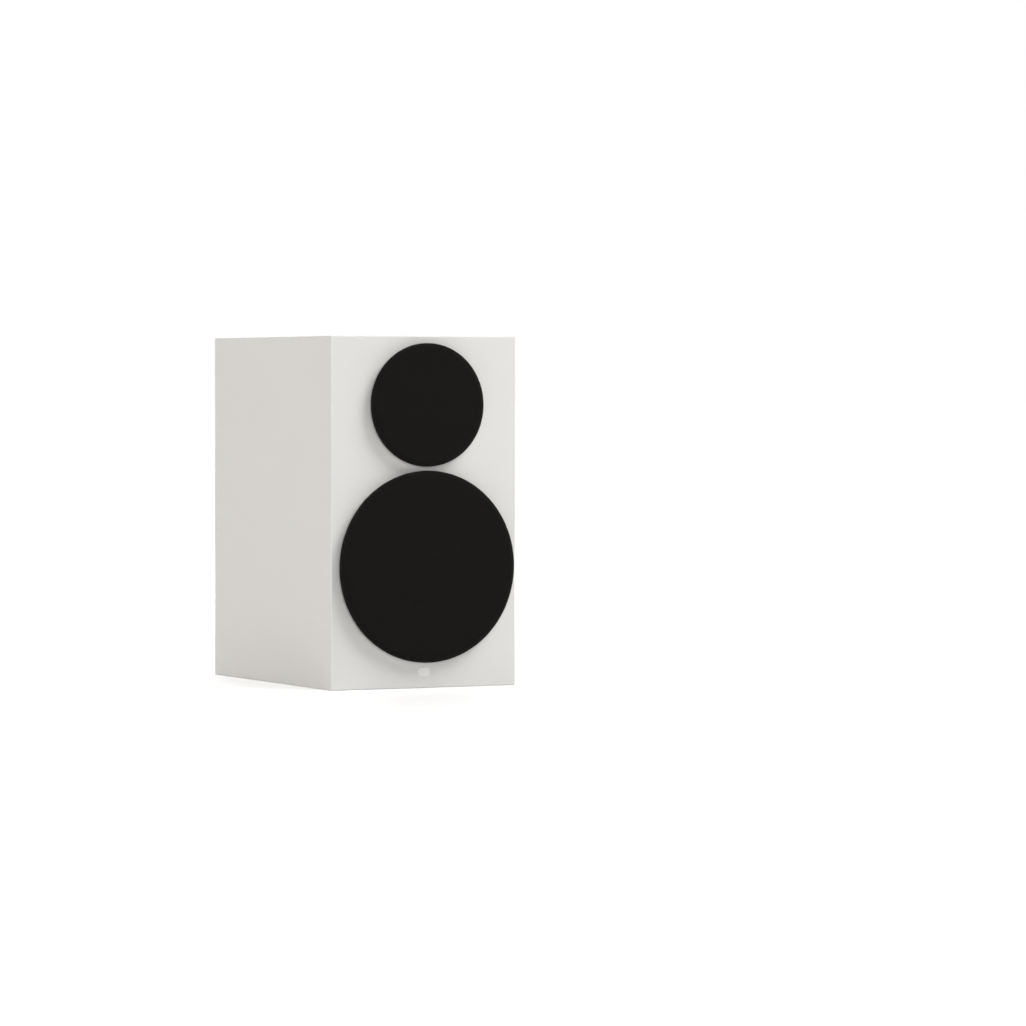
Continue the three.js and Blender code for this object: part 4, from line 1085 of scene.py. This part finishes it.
inner_flare, outer_flare = 0.014, 0.024
flange_radius, sleeve_radius, tube_radius = 0.0440, 0.0350, 0.0280
outline = flare(-tube_end + inner_flare, inner_flare, 0.0083, -1)[::-1]
outline += [(bore, -tube_end + inner_flare), (bore, -outer_flare)]
outline += flare(-outer_flare, 0.0268, 0.0150, 1)
outline += eased([
    (flange_radius, high.y - back_face, 0.0014), (flange_radius, 0.0), (sleeve_radius, 0.0),
    (sleeve_radius, -0.010), (tube_radius, -0.020, 0.004),
    (tube_radius, -tube_end + 0.016, 0.004), (0.0304, -tube_end + 0.007, 0.003),
    (0.0345, -tube_end + 0.0015, 0.001),
])
port = turned("port_tube_moulded", outline, (port_at.x, back_face, port_at.z), moulded, 112, forward=1.0)
stands_for(port, "cabinet", "moulded_black", "port_tube")

# Terminal cup: a moulded black recess with soft corners and a raised rim, held to the back board by
# four small pan-head screws.
low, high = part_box("terminal_cup")
cup_wide, cup_tall = high.x - low.x, high.z - low.z
rim_border, recess_depth = 0.028, 0.022
rim_wide, rim_tall, floor_y = cup_wide - rim_border, cup_tall - rim_border, BACK.y - recess_depth
box_behind = [(0.006, 0.008, low.y), (0.006, 0.008, BACK.y)]
flange = [
    (0.0, 0.008, BACK.y), (0.0, 0.008, high.y - 0.0012), (-0.0007, 0.0077, high.y - 0.0004),
    (-0.0022, 0.007, high.y),
]
recess = [
    (0.0024, 0.0062, high.y), (0.0007, 0.0054, high.y - 0.0004), (0.0, 0.005, high.y - 0.0014),
    (-0.001, 0.005, floor_y + 0.002), (-0.0022, 0.0046, floor_y + 0.0006), (-0.005, 0.004, floor_y),
]


def layered(wide, tall, steps):
    """Rounded rectangles for stacked, each this much wider and taller, with its corner and y."""
    return [(wide + more, tall + more, corner, y) for more, corner, y in steps]


cup = stacked("terminal_cup_moulded", cup_at, (
    layered(rim_wide, rim_tall, box_behind) + layered(cup_wide, cup_tall, flange)
    + layered(rim_wide, rim_tall, recess)
), moulded)
stands_for(cup, "cabinet", "moulded_black", "terminal_cup")


def pan_screw(name, head, rise, shank, length, slot_half, material):
    """A pan-head screw about Y, its seat at zero, with a cross recess sunk in the head."""
    around, recess_depth = 32, 0.0009
    maker = bmesh.new()

    def ring(radius, y, cross=0.0):
        """Points round the axis, drawn in between the arms where there is a cross."""
        points = []
        for k in range(around):
            angle = 2 * math.pi * k / around
            reach = radius
            if cross:
                fold = abs(((angle + math.pi / 4) % (math.pi / 2)) - math.pi / 4)
                reach = min(radius, cross / max(0.12, math.sin(fold)))
            points.append(maker.verts.new((reach * math.sin(angle), y, reach * math.cos(angle))))
        return points

    rings = [
        ring(shank * 0.3, -length), ring(shank, -length + 0.002), ring(shank, 0.0), ring(head, 0.0),
        ring(head, rise * 0.25),
    ]
    for k in range(1, 5):
        angle = math.pi / 2 * k / 6
        rings.append(ring(head * math.cos(angle), rise * (0.25 + 0.75 * math.sin(angle))))
    rings.append(ring(head * 0.5, rise * 0.96, slot_half))
    rings.append(ring(head * 0.46, rise * 0.96 - recess_depth, slot_half))
    return skinned(name, maker, rings, material, 34)


def bolt_corners():
    """Geometry Nodes: a screw at each corner of a rectangle that stands facing Y."""
    rule, ends, out = group("bolt corners", [
        ("Geometry", "NodeSocketGeometry", None), ("Screw", "NodeSocketObject", None),
        ("Width", "NodeSocketFloat", None), ("Height", "NodeSocketFloat", None),
        ("Centre", "NodeSocketVector", None), ("Finish", "NodeSocketMaterial", None),
    ], [("Geometry", "NodeSocketGeometry")], "GeometryNodeTree")
    corners = put(rule, "GeometryNodeMeshGrid", {
        "Size X": ends.outputs["Width"], "Size Y": ends.outputs["Height"],
        "Vertices X": 2, "Vertices Y": 2,
    })
    screws_at(rule, ends, out, corners.outputs["Mesh"], (math.pi / 2, 0, 0))
    return rule


first, last = middle("cup_screw_1"), middle("cup_screw_4")
model = pan_screw(
    "screw model", head=0.0032, rise=0.0019, shank=0.0014, length=0.012, slot_half=0.00045,
    material=plated,
)
cup_screws = grown("cup_screws", bolt_corners(), {
    "Screw": model, "Width": abs(last.x - first.x), "Height": abs(last.z - first.z),
    "Centre": (cup_at.x, high.y, cup_at.z), "Finish": plated,
}, plated)
bpy.data.objects.remove(model)
stands_for(cup_screws, "cabinet", "zinc_steel", *[f"cup_screw_{i}" for i in (1, 2, 3, 4)])

# Binding posts: a gold-plated stud with a socket in its end, a moulded collar, a gold clamp washer
# and a knurled cap on the thread, black on one side and red on the other.
gold = grained(
    "gold plate", (0.83, 0.58, 0.24), (0.70, 0.46, 0.17), 0.22, 0.05, 0.00001,
    grain=1600.0, mottle=180.0, more={"Metallic": 1.0},
)
black_post = grained(
    "glossy black post", (0.016, 0.016, 0.017), (0.012, 0.012, 0.0125), 0.30, 0.04, 0.00002,
    grain=900.0, mottle=100.0, more={"Coat Weight": 0.15},
)
red_post = grained(
    "glossy red post", (0.36, 0.014, 0.012), (0.27, 0.010, 0.010), 0.30, 0.04, 0.00002,
    grain=900.0, mottle=100.0, more={"Coat Weight": 0.15},
)


def knurl_rule():
    """Geometry Nodes: small ridges side by side round a sleeve that lies along Y."""
    rule, ends, out = group("knurls", [
        ("Geometry", "NodeSocketGeometry", None), ("Ridges", "NodeSocketInt", None),
        ("Sleeve radius", "NodeSocketFloat", None), ("Ridge width", "NodeSocketFloat", None),
        ("Ridge length", "NodeSocketFloat", None), ("Centre", "NodeSocketVector", None),
        ("Finish", "NodeSocketMaterial", None),
    ], [("Geometry", "NodeSocketGeometry")], "GeometryNodeTree")
    circle = put(rule, "GeometryNodeMeshCircle", {
        "Vertices": ends.outputs["Ridges"], "Radius": ends.outputs["Sleeve radius"],
    })
    rod = put(rule, "GeometryNodeMeshCylinder", {
        "Vertices": 8, "Radius": ends.outputs["Ridge width"], "Depth": ends.outputs["Ridge length"],
    })
    placed = put(rule, "GeometryNodeInstanceOnPoints", {
        "Points": circle.outputs["Mesh"], "Instance": rod.outputs["Mesh"],
    })
    stood = put(rule, "GeometryNodeTransform", {
        "Geometry": placed.outputs["Instances"], "Translation": ends.outputs["Centre"],
        "Rotation": (math.pi / 2, 0, 0),
    })
    finished(rule, ends, out, stood.outputs["Geometry"])
    return rule


knurls = knurl_rule()
clear_bore, nut_radius, thread_radius, tail_radius = 0.0033, 0.0055, 0.003, 0.0025
nut_start, socket_radius, socket_deep = 0.0041, 0.00205, 0.016
for colour, plastic in (("black", black_post), ("red", red_post)):
    spot = middle(f"{colour}_post_stud")
    axis = (spot.x, 0.0, spot.z)
    low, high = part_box(f"{colour}_post_stud")
    nut_back = low.y + nut_start
    stud = turned(f"{colour}_post_stud_turned", eased([
        (0.0, low.y), (tail_radius, low.y, 0.0004), (tail_radius, nut_back),
        (nut_radius, nut_back, 0.0005), (nut_radius, floor_y - 0.003),
        (thread_radius, floor_y - 0.003), (thread_radius, high.y, 0.0004),
        (socket_radius, high.y, 0.0003), (socket_radius, high.y - socket_deep),
        (0.0, high.y - socket_deep),
    ]), axis, gold, 48, forward=1.0)
    stands_for(stud, "cabinet", "contact_gold", f"{colour}_post_stud")
    low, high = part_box(f"{colour}_post_collar")
    collar = turned(f"{colour}_post_collar_moulded", eased([
        (clear_bore, low.y), (0.0093, low.y, 0.0004), (0.0093, low.y + 0.003, 0.0006),
        (0.0084, low.y + 0.0042, 0.0006), (0.0084, high.y, 0.0008), (clear_bore, high.y),
    ]), axis, plastic, 64, forward=1.0)
    stands_for(collar, "cabinet", f"post_{colour}", f"{colour}_post_collar")
    low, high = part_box(f"{colour}_post_washer")
    clamp = turned(f"{colour}_post_washer_turned", eased([
        (clear_bore, low.y), (0.0080, low.y, 0.0003), (0.0080, high.y, 0.0003), (clear_bore, high.y),
    ]), axis, gold, 64, forward=1.0)
    stands_for(clamp, f"{colour}_post_clamp", "contact_gold", f"{colour}_post_washer")
    low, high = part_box(f"{colour}_post_cap")
    sleeve = turned(f"{colour}_post_cap_turned", eased([
        (clear_bore, low.y, 0.0003), (0.0072, low.y, 0.0005), (0.0079, low.y + 0.0012, 0.0004),
        (0.0079, high.y - 0.0022, 0.0006), (0.0070, high.y, 0.0007), (0.0040, high.y, 0.0003),
        (0.0040, high.y - 0.0012), (clear_bore, high.y - 0.0012),
    ]), axis, plastic, 72, forward=1.0)
    ridges = grown(f"{colour}_post_cap_ridges", knurls, {
        "Ridges": 30, "Sleeve radius": 0.0078, "Ridge width": 0.00062,
        "Ridge length": high.y - low.y - 0.0042,
        "Centre": (axis[0], (low.y + high.y) / 2 - 0.0004, axis[2]), "Finish": plastic,
    }, plastic)
    stands_for(sleeve, f"{colour}_post_knob", f"post_{colour}", f"{colour}_post_cap")
    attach(ridges, f"{colour}_post_knob")

# Crossover and leads: a green circuit board on the posts' nuts, with the woofer's coil, the
# tweeter's film capacitor and a twin lead to each driver. All of it is sealed in the cabinet.
circuit, tree = new_material("circuit board")
place = put(tree, "ShaderNodeTexCoord")
tracks = put(tree, "ShaderNodeTexBrick", {
    "Vector": place.outputs["Object"], "Scale": 60.0, "Mortar Size": 0.012,
    "Color1": (0.020, 0.10, 0.035, 1), "Color2": (0.025, 0.125, 0.045, 1), "Mortar": (0.05, 0.20, 0.07, 1),
})
bump = put(tree, "ShaderNodeBump", {
    "Strength": 0.4, "Distance": 0.00005, "Height": tracks.outputs["Fac"],
})
surface(tree, {
    "Base Color": tracks.outputs["Color"], "Roughness": 0.4, "Normal": bump.outputs["Normal"],
})
wear("crossover_board", circuit)
film = grained(
    "yellow film wrap", (0.60, 0.47, 0.07), (0.50, 0.38, 0.05), 0.3, 0.05, 0.00004,
    grain=500.0, mottle=90.0,
)
wear("crossover_capacitor", film)
jacket = grained(
    "lead jacket", (0.13, 0.022, 0.020), (0.09, 0.015, 0.014), 0.45, 0.05, 0.00004,
    grain=1200.0, mottle=60.0,
)


def smooth_line(points, count):
    """Evenly spaced points on a centripetal Catmull-Rom curve through the given ones."""
    span_steps = 40
    points = [Vector(point) for point in points]
    ends = [2 * points[0] - points[1]] + points + [2 * points[-1] - points[-2]]
    line = []
    for a, b, c, d in zip(ends, ends[1:], ends[2:], ends[3:]):
        before, between, after = ((q - p).length ** 0.5 for p, q in ((a, b), (b, c), (c, d)))
        leave = ((b - a) / before - (c - a) / (before + between) + (c - b) / between) * between
        arrive = ((c - b) / between - (d - b) / (between + after) + (d - c) / after) * between
        for k in range(span_steps):
            t = k / span_steps
            line.append(b + leave * t + (3 * (c - b) - 2 * leave - arrive) * t ** 2
                        + (2 * (b - c) + leave + arrive) * t ** 3)
    line.append(points[-1])
    along = [0.0]
    for one, two in zip(line, line[1:]):
        along.append(along[-1] + (two - one).length)
    even, i = [], 0
    for k in range(count + 1):
        reach = along[-1] * k / count
        while i < len(line) - 2 and along[i + 1] < reach:
            i += 1
        share = (reach - along[i]) / (along[i + 1] - along[i])
        even.append(line[i].lerp(line[i + 1], min(1.0, share)))
    return even, along[-1]


def twin_lead(name, route):
    """Two insulated cores side by side with a thin web between them, swept along the route."""
    core, apart = 0.0012, 0.0013
    turns = [math.radians(155 - 31 * k) for k in range(11)]
    section = [(apart + core * math.cos(a), core * math.sin(a)) for a in turns]
    section += [(-x, -y) for x, y in section]
    path, length = smooth_line(route, 72)
    maker = bmesh.new()
    rings = []
    wide = Vector((0, 0, -1))
    for k, point in enumerate(path):
        onward = (path[min(k + 1, len(path) - 1)] - path[max(k - 1, 0)]).normalized()
        wide = (wide - onward * wide.dot(onward)).normalized()
        thick = onward.cross(wide)
        rings.append([maker.verts.new(point + wide * x + thick * y) for x, y in section])
    made = skinned(name + "_twin", maker, rings, jacket, 50)
    stands_for(made, "cabinet", "lead_jacket", name)


board_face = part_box("crossover_board")[0].y - 0.0003
woofer_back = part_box("woofer_basket")[1].y + 0.0003
tweeter_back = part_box("tweeter_yoke")[1].y + 0.0003
lead_z = cup_at.z + 0.028
brace_low, brace_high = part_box("shelf_brace")[0].z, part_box("shelf_brace")[1].z
tag_x = (half_across("woofer_top_plate") + half_across("woofer_spider") + 0.008) / 2
twin_lead("woofer_lead", [
    (-0.006, board_face, lead_z),
    (-0.006, board_face - 0.008, lead_z),
    (-0.030, board_face - 0.060, lead_z - 0.004),
    (-tag_x - 0.008, woofer_back + 0.070, woofer_at.z - 0.012),
    (-tag_x - 0.004, woofer_back + 0.025, woofer_at.z),
    (-tag_x, woofer_back + 0.006, woofer_at.z),
    (-tag_x, woofer_back, woofer_at.z),
])
twin_lead("tweeter_lead", [
    (0.006, board_face, lead_z),
    (0.006, board_face - 0.008, lead_z),
    (0.014, board_face - 0.050, lead_z + 0.040),
    (0.020, 0.0, brace_low - 0.008),
    (0.018, -0.024, brace_high + 0.012),
    (0.015, tweeter_back + 0.022, tweeter_at.z),
    (0.015, tweeter_back + 0.006, tweeter_at.z),
    (0.015, tweeter_back, tweeter_at.z),
])

bpy.context.view_layer.update()
